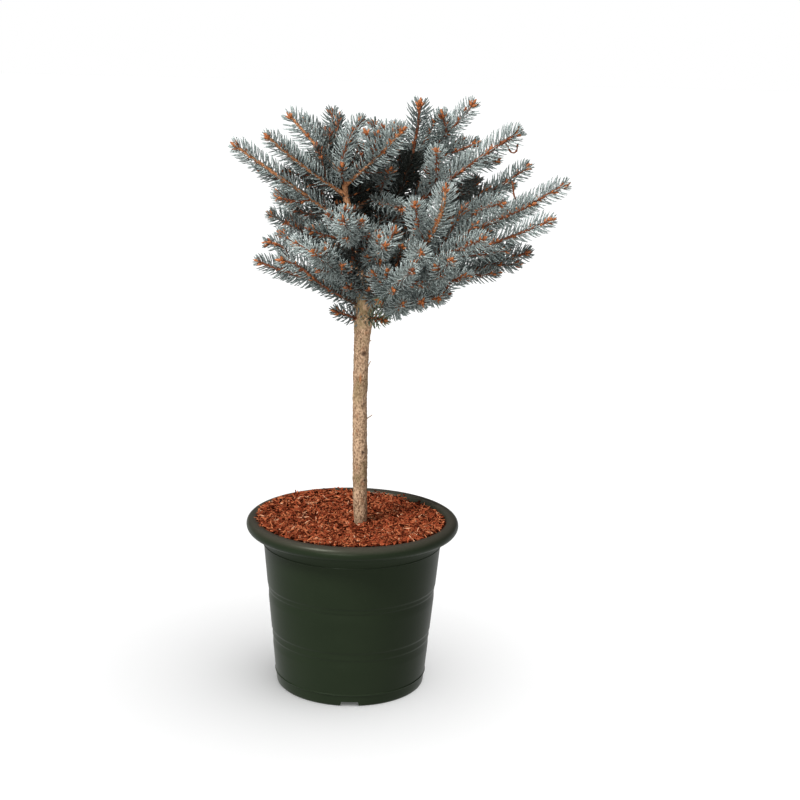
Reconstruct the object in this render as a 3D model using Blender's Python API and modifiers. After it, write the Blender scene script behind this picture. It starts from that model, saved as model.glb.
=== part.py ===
"""Potted blue spruce: an open round crown on a short straight stem, in a moulded pot.

Metres, +Z up. The origin is the centre of the pot's underside, -Y is the front.
"""
import random
from math import atan2, cos, hypot, pi, radians, sin

import bmesh
import bpy
from mathutils import Vector

# ---- pot ----
POT_RIM_RADIUS = 0.1500        # outside of the rolled rim
POT_ROLL = 0.0095              # radius of the roll's section
POT_RIM_MID = 0.2335           # height of the roll's centre
POT_COLLAR_RADIUS = 0.1316     # short collar under the roll
POT_TOP_RADIUS = 0.1262        # body just under the collar
POT_TOP_HEIGHT = 0.2130
POT_FOOT_RADIUS = 0.1078       # body just above the foot
POT_FLOOR_RADIUS = 0.1055      # edge that the pot stands on
POT_EDGE_ROUND = 0.0014        # and how far it is rounded off
POT_FOOT_HEIGHT = 0.0170
POT_FOOT_SETBACK = 0.0060      # inside the foot the wall steps in by this much
POT_WALL = 0.0026
POT_STEPS = 42
GROOVE_IN, GROOVE_OUT = 0.0790, 0.0985   # ring groove moulded under the floor
GROOVE_HEIGHT = 0.0065
NOTCH_COUNT = 3                # drain notches through the foot, one of them in front
NOTCH_WIDTH = 0.0265
NOTCH_DRAFT = 0.0030           # a notch is this much narrower at its top
NOTCH_HEIGHT = 0.0063
CUT_THROUGH = 0.0020           # how far a cutter runs past what it cuts
DRAIN_COUNT = 6                # drain holes in the roof of the groove
DRAIN_RADIUS = 0.0045
DRAIN_SIDES = 8

# ---- mulch ----
MULCH_TOP = 0.2326             # where the stem stands
MULCH_EDGE_RISE = 0.0094       # the surface climbs towards the rim
MULCH_DIP = 0.0050             # a little less on one side
MULCH_DIP_ANGLE = radians(42)
MULCH_LEVEL = 0.0240           # level patch in the middle
MULCH_GRAIN = 0.0012
MULCH_CLEAR = 0.0004           # all round, between the fill and the pot
MULCH_RINGS = (0.0, 0.16, 0.40, 0.64, 0.84)
MULCH_SHOULDER = POT_RIM_MID - 0.0020 - MULCH_CLEAR   # the fill's wall is upright above this

# ---- stem: height, sideways lean, radius ----
STEM = (
    (0.2329, 0.0110, 0.0086),
    (0.2349, 0.0110, 0.0089),
    (0.2450, 0.0107, 0.0098),
    (0.2700, 0.0099, 0.0101),
    (0.3400, 0.0084, 0.0103),
    (0.4119, 0.0070, 0.0099),
    (0.4900, 0.0079, 0.0106),
    (0.5110, 0.0091, 0.0118),
    (0.5330, 0.0105, 0.0139),    # swelling where the crown is grafted on
    (0.5530, 0.0110, 0.0139),
    (0.5760, 0.0090, 0.0118),
    (0.6010, 0.0062, 0.0094),
    (0.6450, -0.0040, 0.0070),
    (0.6890, -0.0160, 0.0048),
    (0.7330, -0.0215, 0.0030),
)
STEM_SIDES = 3                 # bevel resolution of the stem's section

# ---- boughs: height on the stem, heading, reach, tip height, upturn, turn of the side shoots ----
BOUGHS = {
    "left_top": (0.650, 190, 0.177, 0.765, 0.15, 100),
    "left_upper": (0.696, 201, 0.139, 0.779, 0.10, 30),
    "left_crest": (0.718, 164, 0.108, 0.803, 0.10, 75),
    "back_left_crest": (0.688, 114, 0.110, 0.808, 0.30, 10),
    "front_crest": (0.709, 307, 0.091, 0.793, 0.10, 60),
    "right_crest": (0.640, 358, 0.076, 0.827, 0.75, 25),
    "back_right_crest": (0.672, 27, 0.175, 0.824, 0.20, 70),
    "right_top": (0.622, 1, 0.214, 0.788, 0.15, 50),
    "right_upper": (0.604, 22, 0.257, 0.735, 0.10, 15),
    "right_middle": (0.588, 4, 0.284, 0.717, 0.10, 70),
    "right_front": (0.574, 347, 0.263, 0.677, 0.10, 35),
    "right_low": (0.560, 16, 0.252, 0.616, 0.15, 90),
    "front_right_top": (0.612, 309, 0.168, 0.727, 0.60, 20),
    "front_right": (0.586, 313, 0.230, 0.664, 0.15, 45),
    "low_right": (0.541, 342, 0.128, 0.571, 0.10, 100),
    "low_front": (0.552, 291, 0.184, 0.623, 0.20, 55),
    "front_middle": (0.598, 283, 0.140, 0.648, 0.20, 10),
    "front_left_top": (0.628, 262, 0.172, 0.683, 0.20, 30),
    "front_left": (0.572, 246, 0.155, 0.640, 0.15, 65),
    "low_left": (0.543, 214, 0.086, 0.595, 0.15, 40),
    "left_low": (0.560, 190, 0.146, 0.609, 0.10, 90),
    "left_middle": (0.612, 165, 0.135, 0.667, 0.10, 50),
    "back_left": (0.590, 137, 0.170, 0.690, 0.15, 35),
    "back": (0.634, 88, 0.170, 0.735, 0.25, 70),
    "back_low": (0.566, 103, 0.170, 0.610, 0.15, 20),
    "back_right": (0.620, 58, 0.200, 0.690, 0.20, 55),
    "back_right_low": (0.574, 50, 0.190, 0.600, 0.10, 80),
}
CROWN_TIP = (0.007, 0.020, 0.800)    # end of the shoot that carries the stem on
CROWN_TIP_TURN = 30
AXIS_X = 0.005                 # the crown's own axis, beside the pot's
CELL_CENTRE = (AXIS_X, 0.0, 0.585)   # each mass keeps to a cone seen from here
BOUGH_SHARE = 0.38             # part of a bough that is bare wood
BOUGH_POINTS = 6
BOUGH_END = 0.60               # its radius there, as a share of that at the stem
WOOD_THIN = 0.0016             # radius a bough would have with no length
WOOD_GROWTH = 0.0110           # and what each metre of length adds
TIP_WOOD = 0.0030              # radius of the shoot that carries the stem on
TWIG_TIP = 0.0012

# ---- shoots: a slim core, every other corner of which is drawn out into a needle ----
SIDES = 6
RING_STEP = 0.0175             # distance between two rings of needles
CORE = 0.0034
CORE_FADE = 0.45               # how much slimmer the core is at a shoot's tip
NEEDLE = 0.0165                # how far a needle stands out
NEEDLE_SWEEP = 0.0120          # and how far it leans forward
NEEDLE_LIFT = 0.0020           # needles curve up
NEEDLE_FADE = 0.45             # how much shorter they are at a shoot's tip
NEEDLE_FADE_FROM = 0.7
LEADER_BARE, SIDE_BARE = 0.12, 0.25  # part of a leader and of a side shoot without needles
SIDE_WOOD = 0.0024             # radius of a side shoot's root, sunk in its leader
SIDE_ROOT = 0.15               # part of a side shoot that may lie within other wood
# side shoots: place along the leader, turn about it, lean from it, share of its length
WHORL = ((0.10, 0, 36, 0.58), (0.13, 128, 34, 0.52), (0.16, 244, 34, 0.54))
UPPER = ((0.48, 60, 32, 0.40), (0.53, 236, 32, 0.38))
TURN_SPREAD, LEAN_SPREAD = 14, 5     # seeded play in degrees
UNDER_LEAN, UNDER_REACH = 0.4, 0.2   # shoots on the underside lie closer and stay shorter
STRAIGHTEN = 0.6               # a side shoot curves back towards its leader
LIFT = 0.10                    # and up
LONG_LEADER = 0.135            # leaders over this length have the upper pair, shorter ones half of it
SHORTENED = (1.0, 0.85, 0.7, 0.55)   # lengths tried where a side shoot has little space
NEEDLE_ROOM = 0.0015           # needles keep this far from wood and twice as far from each other
SEED = 11

GAP = 0.0003                   # between two nodes that meet
MARGIN = 0.0004                # between a shoot and the walls of its mass's space
SEAT = 0.0020                  # a bough's last point lies this near its mass's root
AXIS_POINTS = 9                # points along a shoot when distances are measured

MAIN = "potted_blue_spruce"


# ------------------------------------------------------------------ scene helpers
def clear_scene():
    for item in list(bpy.data.objects):
        bpy.data.objects.remove(item, do_unlink=True)


def collection(name):
    group = bpy.data.collections.new(name)
    bpy.context.scene.collection.children.link(group)
    return group


def material(name, colour, roughness):
    made = bpy.data.materials.new(name)
    made.use_nodes = True
    shader = made.node_tree.nodes["Principled BSDF"]
    shader.inputs["Base Color"].default_value = (*colour, 1.0)
    shader.inputs["Roughness"].default_value = roughness
    shader.inputs["Metallic"].default_value = 0.0
    return made


def add_object(name, mesh, group, finish=None):
    made = bpy.data.objects.new(name, mesh)
    group.objects.link(made)
    if finish:
        mesh.materials.clear()
        mesh.materials.append(finish)
    return made


def evaluated_mesh(source):
    bpy.context.view_layer.update()
    graph = bpy.context.evaluated_depsgraph_get()
    return bpy.data.meshes.new_from_object(source.evaluated_get(graph), depsgraph=graph)


def closed_mesh(mesh, distance=1e-6):
    """Weld the seams and turn the faces out."""
    work = bmesh.new()
    work.from_mesh(mesh)
    bmesh.ops.remove_doubles(work, verts=work.verts, dist=distance)
    bmesh.ops.recalc_face_normals(work, faces=work.faces)
    work.to_mesh(mesh)
    work.free()
    return mesh


def turned(name, profile, steps, group, finish):
    """Turn a profile of (radius, height), given down the outer side, about Z."""
    mesh = bpy.data.meshes.new(name)
    mesh.from_pydata([(r, 0.0, z) for r, z in profile], [(i, i + 1) for i in range(len(profile) - 1)], [])
    made = add_object(name, mesh, group, finish)
    screw = made.modifiers.new("Turn", "SCREW")
    screw.axis = "Z"
    screw.angle = 2 * pi
    screw.steps = steps
    screw.render_steps = steps
    screw.use_merge_vertices = True
    screw.merge_threshold = 0.00005
    return made


def limb(name, points, radii, resolution, group, finish=None):
    """A tapering round limb: a curve with its own radius at each point, made a closed mesh."""
    data = bpy.data.curves.new(name, "CURVE")
    data.dimensions = "3D"
    data.bevel_depth = 1.0
    data.bevel_resolution = resolution
    data.use_fill_caps = True
    line = data.splines.new("POLY")
    line.points.add(len(points) - 1)
    for slot, point, radius in zip(line.points, points, radii):
        slot.co = (*point, 1.0)
        slot.radius = radius
    guide = add_object(name + "_guide", data, group)
    mesh = evaluated_mesh(guide)
    mesh.transform(guide.matrix_world)
    bpy.data.objects.remove(guide, do_unlink=True)
    return add_object(name, closed_mesh(mesh), group, finish)


# ------------------------------------------------------------------ geometry helpers
def station(height):
    """Lean and radius of the stem at a height."""
    for low, high in zip(STEM, STEM[1:]):
        if low[0] <= height <= high[0]:
            share = (height - low[0]) / (high[0] - low[0])
            return tuple(a + (b - a) * share for a, b in zip(low[1:], high[1:]))
    return STEM[-1][1:]


def bend(start, knee, end, share):
    rest = 1.0 - share
    return start * rest * rest + knee * 2 * rest * share + end * share * share


def walk(start, knee, end, first, last, count):
    return [bend(start, knee, end, first + (last - first) * i / (count - 1)) for i in range(count)]


def tangent(points, index):
    low, high = max(index - 1, 0), min(index + 1, len(points) - 1)
    return (points[high] - points[low]).normalized()


def cross_axes(direction):
    """A level axis and an upward axis across a direction."""
    level = direction.cross(Vector((0, 0, 1)))
    if level.length < 0.2:
        level = direction.cross(Vector((0, 1, 0)))
    level.normalize()
    return level, level.cross(direction).normalized()


def segment_gap(p1, q1, p2, q2):
    """Shortest distance between two straight segments."""
    d1, d2, r = q1 - p1, q2 - p2, p1 - p2
    a, e, f = d1.length_squared, d2.length_squared, d2.dot(r)
    c, b = d1.dot(r), d1.dot(d2)
    bottom = a * e - b * b
    s = min(max((b * f - c * e) / bottom, 0.0), 1.0) if bottom > 1e-18 else 0.0
    t = (b * s + f) / e
    if t < 0.0:
        t, s = 0.0, min(max(-c / a, 0.0), 1.0)
    elif t > 1.0:
        t, s = 1.0, min(max((b - c) / a, 0.0), 1.0)
    return ((p1 + d1 * s) - (p2 + d2 * t)).length


# ------------------------------------------------------------------ how the crown grows
def bough_line(row):
    """Root on the stem's axis, knee and tip of a bough."""
    hub, heading, reach, top, upturn, _ = row
    root = Vector((station(hub)[0], 0.0, hub))
    tip = Vector((AXIS_X + reach * cos(radians(heading)), reach * sin(radians(heading)), top))
    out = 0.5 + 0.5 * upturn
    knee = Vector((root.x + (tip.x - root.x) * out, tip.y * out, hub + (top - hub) * (1.0 - out)))
    return root, knee, tip


def leader_lines():
    """For each mass: name, line, radius of the wood at its root, share where the foliage starts, turn."""
    lines = []
    for name, row in BOUGHS.items():
        root, knee, tip = bough_line(row)
        thick = WOOD_THIN + WOOD_GROWTH * ((knee - root).length + (tip - knee).length)
        lines.append((name, (root, knee, tip), thick, BOUGH_SHARE, row[5]))
    top = Vector((STEM[-1][1], 0.0, STEM[-1][0]))
    tip = Vector(CROWN_TIP)
    ahead = (top - Vector((STEM[-2][1], 0.0, STEM[-2][0]))).normalized()
    knee = top + ahead * (tip - top).length * 0.4
    lines.append(("tip", (top, knee, tip), TIP_WOOD, 0.0, CROWN_TIP_TURN))
    return lines


def cell_walls(lines):
    """For each mass, the planes through the crown's centre between it and the others."""
    centre = Vector(CELL_CENTRE)
    headings = [(line[1][2] - centre).normalized() for line in lines]
    walls = []
    for i, mine in enumerate(headings):
        walls.append([(mine - other).normalized() for j, other in enumerate(headings) if j != i])
    return centre, walls


def inside(points, centre, walls, margin):
    return all((point - centre).dot(wall) > margin for wall in walls for point in points)


def side_lines(line, rng):
    """The side shoots of one leader: a whorl where its foliage starts, and one or two above."""
    _, (root, knee, tip), thick, share, turn = line
    length = (tip - bend(root, knee, tip, share)).length
    rule = WHORL + (UPPER if length > LONG_LEADER else UPPER[:1])
    for place, around, spread, part in rule:
        place = share + place * (1.0 - share)
        start = bend(root, knee, tip, place)
        ahead = (bend(root, knee, tip, place + 0.02) - start).normalized()
        level, up = cross_axes(ahead)
        angle = radians(turn + around + rng.uniform(-TURN_SPREAD, TURN_SPREAD))
        under = max(0.0, -sin(angle))
        lean = radians(spread + rng.uniform(-LEAN_SPREAD, LEAN_SPREAD)) * (1.0 - UNDER_LEAN * under)
        across = level * cos(angle) + up * sin(angle)
        reach = length * part * rng.uniform(0.92, 1.08) * (1.0 - UNDER_REACH * under)
        middle = start + (ahead * cos(lean) + across * sin(lean)) * reach * 0.5
        lean *= STRAIGHTEN
        end = middle + (ahead * cos(lean) + across * sin(lean) + Vector((0, 0, LIFT))) * reach * 0.5
        yield start, middle, end


# ------------------------------------------------------------------ one shoot
def shoot_mesh(name, line, first, facing, radii, spiked_from, free):
    """A slim six-sided core whose corners are drawn out, in turn, into needles."""
    length = (bend(*line, 1.0) - bend(*line, first)).length
    count = max(3, round(length / RING_STEP))
    points = walk(*line, first, 1.0, count + 1)
    step = length / count
    verts, faces = [], []
    for ring, point in enumerate(points):
        share = ring / count
        ahead = facing if ring == 0 else tangent(points, ring)
        level, up = cross_axes(ahead)
        bare = share < spiked_from or ring == 0
        core = radii[0] + (radii[1] - radii[0]) * share
        if not bare:
            core = max(core, CORE * (1.0 - CORE_FADE * share))
        for side in range(SIDES):
            angle = 2 * pi * (side + 0.5) / SIDES
            across = level * cos(angle) + up * sin(angle)
            spot = point + across * core
            if not bare and (ring + side) % 2 == 0:
                short = 1.0 - NEEDLE_FADE * max(0.0, share - NEEDLE_FADE_FROM) / (1.0 - NEEDLE_FADE_FROM)
                tip = point + across * (core + NEEDLE * short) + ahead * NEEDLE_SWEEP * short
                tip += Vector((0, 0, NEEDLE_LIFT))
                if free((spot, spot - ahead * step, spot + ahead * step), tip):
                    spot = tip
            verts.append(spot)
    for ring in range(count):
        for side in range(SIDES):
            a, b = ring * SIDES + side, ring * SIDES + (side + 1) % SIDES
            c, d = b + SIDES, a + SIDES
            if (ring + side) % 2 == 0:      # a and c may be needles, so the fold runs from b to d
                faces += [(a, b, d), (b, c, d)]
            else:
                faces += [(a, b, c), (a, c, d)]
    verts.append(points[-1] + tangent(points, count) * CORE)
    nose, last = len(verts) - 1, count * SIDES
    faces.append(tuple(reversed(range(SIDES))))
    for side in range(SIDES):
        faces.append((nose, last + side, last + (side + 1) % SIDES))
    mesh = bpy.data.meshes.new(name)
    mesh.from_pydata(verts, [], faces)
    return closed_mesh(mesh)


def outer_shell(mesh):
    """Keep the largest shell: hollows sealed by the join are filled, loose scrap is dropped."""
    work = bmesh.new()
    work.from_mesh(mesh)
    left, shells = set(work.verts), []
    while left:
        shell, edge = set(), [left.pop()]
        while edge:
            vert = edge.pop()
            shell.add(vert)
            for link in vert.link_edges:
                other = link.other_vert(vert)
                if other in left:
                    left.discard(other)
                    edge.append(other)
        shells.append(shell)
    shells.sort(key=len)
    for shell in shells[:-1]:
        bmesh.ops.delete(work, geom=list(shell), context="VERTS")
    work.to_mesh(mesh)
    work.free()
    return mesh


def fused(name, pieces, group, finish):
    """Join a mass's shoots into one closed body."""
    keeper, rest = pieces[0], pieces[1:]
    if rest:
        cutters = bpy.data.collections.new(name + "_shoots")
        bpy.context.scene.collection.children.link(cutters)
        for piece in rest:
            group.objects.unlink(piece)
            cutters.objects.link(piece)
        union = keeper.modifiers.new("Fuse", "BOOLEAN")
        union.operation = "UNION"
        union.operand_type = "COLLECTION"
        union.collection = cutters
        union.solver = "MANIFOLD"
        mesh = evaluated_mesh(keeper)
        keeper.modifiers.clear()
        keeper.data = outer_shell(mesh)
        for piece in rest:
            bpy.data.objects.remove(piece, do_unlink=True)
        bpy.data.collections.remove(cutters)
    keeper.data.materials.clear()
    keeper.data.materials.append(finish)
    keeper.name = name
    return keeper


# ------------------------------------------------------------------ the parts
def build_pot(group, cutters, finish):
    roll = POT_RIM_RADIUS - POT_ROLL
    outer = [(roll + POT_ROLL * sin(a), POT_RIM_MID + POT_ROLL * cos(a))
             for a in (radians(step) for step in range(0, 181, 45))]
    outer += [
        (POT_COLLAR_RADIUS, POT_RIM_MID - POT_ROLL),
        (POT_COLLAR_RADIUS - 0.0010, POT_RIM_MID - POT_ROLL - 0.0055),
        (POT_TOP_RADIUS, POT_TOP_HEIGHT),
        (POT_FOOT_RADIUS, POT_FOOT_HEIGHT),
        (POT_FLOOR_RADIUS, POT_EDGE_ROUND),
        (POT_FLOOR_RADIUS - POT_EDGE_ROUND, 0.0),
        (GROOVE_OUT, 0.0),
        (GROOVE_OUT, GROOVE_HEIGHT),
        (GROOVE_IN, GROOVE_HEIGHT),
        (GROOVE_IN - 0.0015, 0.0),
        (0.0, 0.0),
    ]
    inner = [
        (0.0, POT_WALL),
        (GROOVE_IN - 0.0040, POT_WALL),
        (GROOVE_IN - 0.0020, GROOVE_HEIGHT + POT_WALL),
        (POT_FOOT_RADIUS - POT_WALL - POT_FOOT_SETBACK, GROOVE_HEIGHT + POT_WALL),
        (POT_FOOT_RADIUS - POT_WALL, POT_FOOT_HEIGHT),
        (POT_TOP_RADIUS - POT_WALL, POT_TOP_HEIGHT),
        (POT_COLLAR_RADIUS - POT_WALL, POT_RIM_MID - 0.0020),
        (roll - 0.0050, POT_RIM_MID + POT_ROLL - 0.0016),
    ]
    pot = turned("pot", inner + outer, POT_STEPS, group, finish)
    for index in range(NOTCH_COUNT):
        notch = notch_cutter("notch_%d" % index, cutters)
        notch.rotation_euler.z = 2 * pi * index / NOTCH_COUNT - pi / 2
        cut(pot, notch)
    for index in range(DRAIN_COUNT):
        angle = 2 * pi * (index + 0.5) / DRAIN_COUNT
        middle = (GROOVE_IN + GROOVE_OUT) / 2
        hole = drain_cutter("drain_%d" % index, cutters)
        hole.location = (middle * cos(angle), middle * sin(angle), GROOVE_HEIGHT)
        cut(pot, hole)


def notch_cutter(name, group):
    """A low wedge across the foot, from the ring groove outwards, wider below."""
    work = bmesh.new()
    bmesh.ops.create_cube(work, size=1.0)
    for vert in work.verts:
        high = vert.co.z > 0
        vert.co.y *= NOTCH_WIDTH - (NOTCH_DRAFT if high else 0.0)
        vert.co.x = (GROOVE_IN + GROOVE_OUT) / 2 if vert.co.x < 0 else POT_FOOT_RADIUS + CUT_THROUGH
        vert.co.z = NOTCH_HEIGHT if high else -CUT_THROUGH
    return cutter_object(name, work, group)


def drain_cutter(name, group):
    work = bmesh.new()
    bmesh.ops.create_cone(work, cap_ends=True, segments=DRAIN_SIDES, radius1=DRAIN_RADIUS,
                          radius2=DRAIN_RADIUS, depth=3 * POT_WALL)
    return cutter_object(name, work, group)


def cutter_object(name, work, group):
    mesh = bpy.data.meshes.new(name)
    work.to_mesh(mesh)
    work.free()
    return add_object(name, mesh, group)


def cut(target, cutter):
    cutter.hide_render = True
    cutter.display_type = "WIRE"
    modifier = target.modifiers.new("Cut " + cutter.name, "BOOLEAN")
    modifier.operation = "DIFFERENCE"
    modifier.solver = "EXACT"
    modifier.object = cutter


def mulch_height(x, y, radius):
    """Level at the stem and up towards the rim, a little less on the back right."""
    share = min(max(0.0, hypot(x, y) - MULCH_LEVEL) / (radius - MULCH_LEVEL), 1.0)
    facing = max(0.0, cos(atan2(y, x) - MULCH_DIP_ANGLE))
    grain = MULCH_GRAIN * (sin(x * 310) * cos(y * 270) + sin((x + y) * 190)) * min(1.0, share * 2)
    return MULCH_TOP + share ** 2 * (MULCH_EDGE_RISE - MULCH_DIP * facing ** 2) + grain


def build_mulch(group, finish):
    """The fill: its wall follows the pot's, its surface is a flat disc raised and dipped afterwards."""
    inset = POT_WALL + MULCH_CLEAR
    surface = POT_COLLAR_RADIUS - inset
    low = GROOVE_HEIGHT + POT_WALL + GAP
    profile = [(surface * share, MULCH_TOP) for share in MULCH_RINGS]
    profile += [
        (surface, MULCH_TOP),
        (surface, MULCH_SHOULDER),
        (POT_TOP_RADIUS - inset, POT_TOP_HEIGHT - MULCH_CLEAR),
        (POT_FOOT_RADIUS - inset, POT_FOOT_HEIGHT),
        (POT_FOOT_RADIUS - inset - POT_FOOT_SETBACK, low),
        (0.0, low),
    ]
    made = turned("mulch", profile, POT_STEPS, group, finish)
    mesh = evaluated_mesh(made)
    made.modifiers.clear()
    made.data = closed_mesh(mesh)
    for vert in made.data.vertices:
        if vert.co.z > MULCH_SHOULDER + MULCH_CLEAR:
            vert.co.z = mulch_height(vert.co.x, vert.co.y, surface)


def build_stem(group, cutters, finish):
    """The trunk, and the room round it that the boughs are cut back to."""
    points = [Vector((x, 0.0, z)) for z, x, _ in STEM]
    radii = [r for _, _, r in STEM]
    limb("trunk", points, radii, STEM_SIDES, group, finish)
    return limb("trunk_room", points, [r + GAP for r in radii], STEM_SIDES, cutters)


def build_boughs(lines, room, group, finish):
    """Each bough runs from the stem's axis and is cut back to a hair from the bark."""
    spans = []
    for name, line, thick, share, _ in lines:
        if not share:
            continue
        points = walk(*line, 0.0, share, BOUGH_POINTS)
        radii = [thick * (1.0 + (BOUGH_END - 1.0) * i / (BOUGH_POINTS - 1)) for i in range(BOUGH_POINTS)]
        made = limb("bough_" + name, points, radii, 1, group, finish)
        cut(made, room)
        spans.append((name, points, radii))
    return spans


def limb_spans(boughs):
    """Every limb as capsules: owner, two ends and the thicker radius."""
    spans = []
    for low, high in zip(STEM, STEM[1:]):
        ends = [Vector((x, 0, z)) for z, x, _ in (low, high)]
        spans.append(("stem", *ends, max(low[2], high[2])))
    for name, points, radii in boughs:
        for a, b, r in zip(points, points[1:], radii):
            spans.append((name, a, b, r))
    return spans


def plan_sides(line, centre, walls, limbs, rng):
    """The side shoots of a mass, each shortened until it fits the mass's own space."""
    for start, middle, end in side_lines(line, rng):
        for trim in SHORTENED:
            turn = start.lerp(middle, trim)
            span = (start, turn, turn + (end - middle) * trim)
            points = walk(*span, SIDE_ROOT, 1.0, AXIS_POINTS)
            if inside(points, centre, walls, CORE + MARGIN) and all(
                segment_gap(p, q, a, b) > CORE + r + MARGIN
                for p, q in zip(points, points[1:]) for _, a, b, r in limbs
            ):
                yield span
                break


def needle_test(index, axes, limbs, centre, walls, taken):
    """A test whether a needle of one shoot is free: within the mass's own space and clear of wood,
    of the mass's other shoots and of their needles. A needle that passes is noted as taken."""
    others = [pair for other, axis in enumerate(axes) if other != index for pair in zip(axis, axis[1:])]

    def free(feet, tip):
        if not inside((*feet, tip), centre, walls, MARGIN):
            return False
        edges = [(foot, tip) for foot in feet]
        for edge in edges:
            if any(segment_gap(*edge, a, b) < r + NEEDLE_ROOM for _, a, b, r in limbs):
                return False
            if any(segment_gap(*edge, a, b) < CORE + NEEDLE_ROOM for a, b in others):
                return False
            if any(owner != index and segment_gap(*edge, *found) < NEEDLE_ROOM for owner, found in taken):
                return False
        taken.extend((index, edge) for edge in edges)
        return True

    return free


def build_masses(lines, spans, group, finish):
    """Each mass: the outer part of a bough's line as its leader, with side shoots fused on."""
    rng = random.Random(SEED)
    centre, all_walls = cell_walls(lines)
    for line, walls in zip(lines, all_walls):
        name, path, thick, share, _ = line
        seat = bend(*path, share)
        limbs = [span for span in spans if (span[2] - seat).length > SEAT]
        if share:
            facing = (seat - bend(*path, share * 0.8)).normalized()
            root_radius = thick * BOUGH_END
        else:
            facing = (path[1] - path[0]).normalized()
            root_radius = thick
        lift = facing * GAP
        leader = (path[0] + lift, path[1] + lift, path[2])
        shoots = [(leader, share, facing, (root_radius, TWIG_TIP), LEADER_BARE)]
        for side in plan_sides(line, centre, walls, limbs, rng):
            shoots.append((side, 0.0, (side[1] - side[0]).normalized(), (SIDE_WOOD, TWIG_TIP), SIDE_BARE))
        axes = [walk(*shoot[0], shoot[1], 1.0, AXIS_POINTS) for shoot in shoots]
        taken, pieces = [], []
        for index, shoot in enumerate(shoots):
            piece = "%s_%d" % (name, index)
            free = needle_test(index, axes, limbs, centre, walls, taken)
            pieces.append(add_object(piece, shoot_mesh(piece, *shoot, free), group))
        fused("foliage_" + name, pieces, group, finish)


def main():
    clear_scene()
    group = collection(MAIN)
    cutters = collection("cutters")
    plastic = material("pot_plastic", (0.012, 0.030, 0.018), 0.42)
    bark_chips = material("bark_mulch", (0.230, 0.075, 0.034), 0.90)
    bark = material("bark", (0.180, 0.130, 0.095), 0.88)
    twig_bark = material("twig_bark", (0.300, 0.140, 0.065), 0.80)
    needles = material("needles", (0.200, 0.270, 0.280), 0.62)
    build_pot(group, cutters, plastic)
    build_mulch(group, bark_chips)
    room = build_stem(group, cutters, bark)
    lines = leader_lines()
    boughs = build_boughs(lines, room, group, twig_bark)
    build_masses(lines, limb_spans(boughs), group, needles)


main()
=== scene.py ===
"""The looks of the potted blue spruce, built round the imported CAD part. Metres, +Z up, -Y is the front."""

import random
from math import atan2, cos, hypot, pi, radians, sin

import bmesh
import bpy
import numpy as np
from mathutils import Matrix, Vector, noise

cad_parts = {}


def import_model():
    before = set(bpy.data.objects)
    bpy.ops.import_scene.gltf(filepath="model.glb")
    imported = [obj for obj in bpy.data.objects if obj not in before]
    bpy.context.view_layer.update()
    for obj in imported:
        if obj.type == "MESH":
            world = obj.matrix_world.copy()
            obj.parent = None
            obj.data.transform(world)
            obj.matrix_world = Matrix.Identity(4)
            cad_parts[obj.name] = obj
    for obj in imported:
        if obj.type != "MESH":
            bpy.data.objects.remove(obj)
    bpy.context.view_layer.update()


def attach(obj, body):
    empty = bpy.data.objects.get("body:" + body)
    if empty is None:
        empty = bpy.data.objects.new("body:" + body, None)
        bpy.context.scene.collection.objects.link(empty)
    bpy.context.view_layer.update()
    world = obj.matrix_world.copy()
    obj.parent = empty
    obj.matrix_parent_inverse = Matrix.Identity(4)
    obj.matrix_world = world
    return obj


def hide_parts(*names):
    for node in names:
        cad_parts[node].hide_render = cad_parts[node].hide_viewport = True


PIECE_LIMIT = 190000  # triangles in one piece
GOLDEN = pi * (3 - 5 ** 0.5)  # turn from one needle or shoot to the next
BLACK, WHITE = (0.0, 0.0, 0.0), (1.0, 1.0, 1.0)

# ---- camera ----
CAMERA_AT = (0.0, -2.1, 0.9042)
CAMERA_PITCH, CAMERA_YAW, CAMERA_ROLL = 0.2297, 0.0300, 0.0243
CAMERA_LENS, CAMERA_SENSOR = 69.63, 36.0

# ---- lamps: name, heading and height in degrees, strength, spread in degrees, what it falls on ----
LAMPS = (
    ("key", 222, 54, 3.8, 16, "plant"),
    ("front", 256, 4, 1.85, 32, "plant"),
    ("fill", 304, 40, 0.55, 46, "plant"),
    ("overhead", 325, 76, 3.85, 100, "floor"),
)
LAMP_AWAY = 3.0
WORLD_LEVEL = 0.05  # light that reaches the plant from all round
FLOOR_HALF, FLOOR_DROP = 30.0, 0.0002  # half the floor's width, and how far it lies under the pot's foot
FLOOR_DIFFUSE = 0.80
FLOOR_SEEN, FLOOR_LIT = 0.128, 0.85  # glow of the floor for the camera, and the light it sends to the plant
VIEW_GAMMA = 0.88

# ---- pot, as in the part's source ----
POT_RIM_RADIUS = 0.1500
POT_ROLL = 0.0095
POT_RIM_MID = 0.2335
POT_COLLAR_RADIUS = 0.1316
POT_TOP_RADIUS = 0.1262
POT_TOP_HEIGHT = 0.2130
POT_FOOT_RADIUS = 0.1078
POT_FLOOR_RADIUS = 0.1055
POT_EDGE_ROUND = 0.0014
POT_FOOT_HEIGHT = 0.0170
POT_FOOT_SETBACK = 0.0060
POT_WALL = 0.0026
GROOVE_IN, GROOVE_OUT = 0.0790, 0.0985
GROOVE_HEIGHT = 0.0065
NOTCH_COUNT = 3
NOTCH_WIDTH = 0.0265
NOTCH_DRAFT = 0.0030
NOTCH_HEIGHT = 0.0063
CUT_THROUGH = 0.0020
DRAIN_COUNT = 6
DRAIN_RADIUS = 0.0045
POT_SEGMENTS = 180
GROOVES = (0.1462, 0.1392, 0.0800, 0.0690)  # heights where the wall steps in, and then slowly out again
GROOVE_STEP, GROOVE_DEPTH = 0.0032, 0.0008
DRAIN_SIDES = 20
RIM_DUST_AND_SHEEN = 0.70  # share of dust and painted sheen on the rim's top
SHARP_FROM = radians(38)

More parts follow.
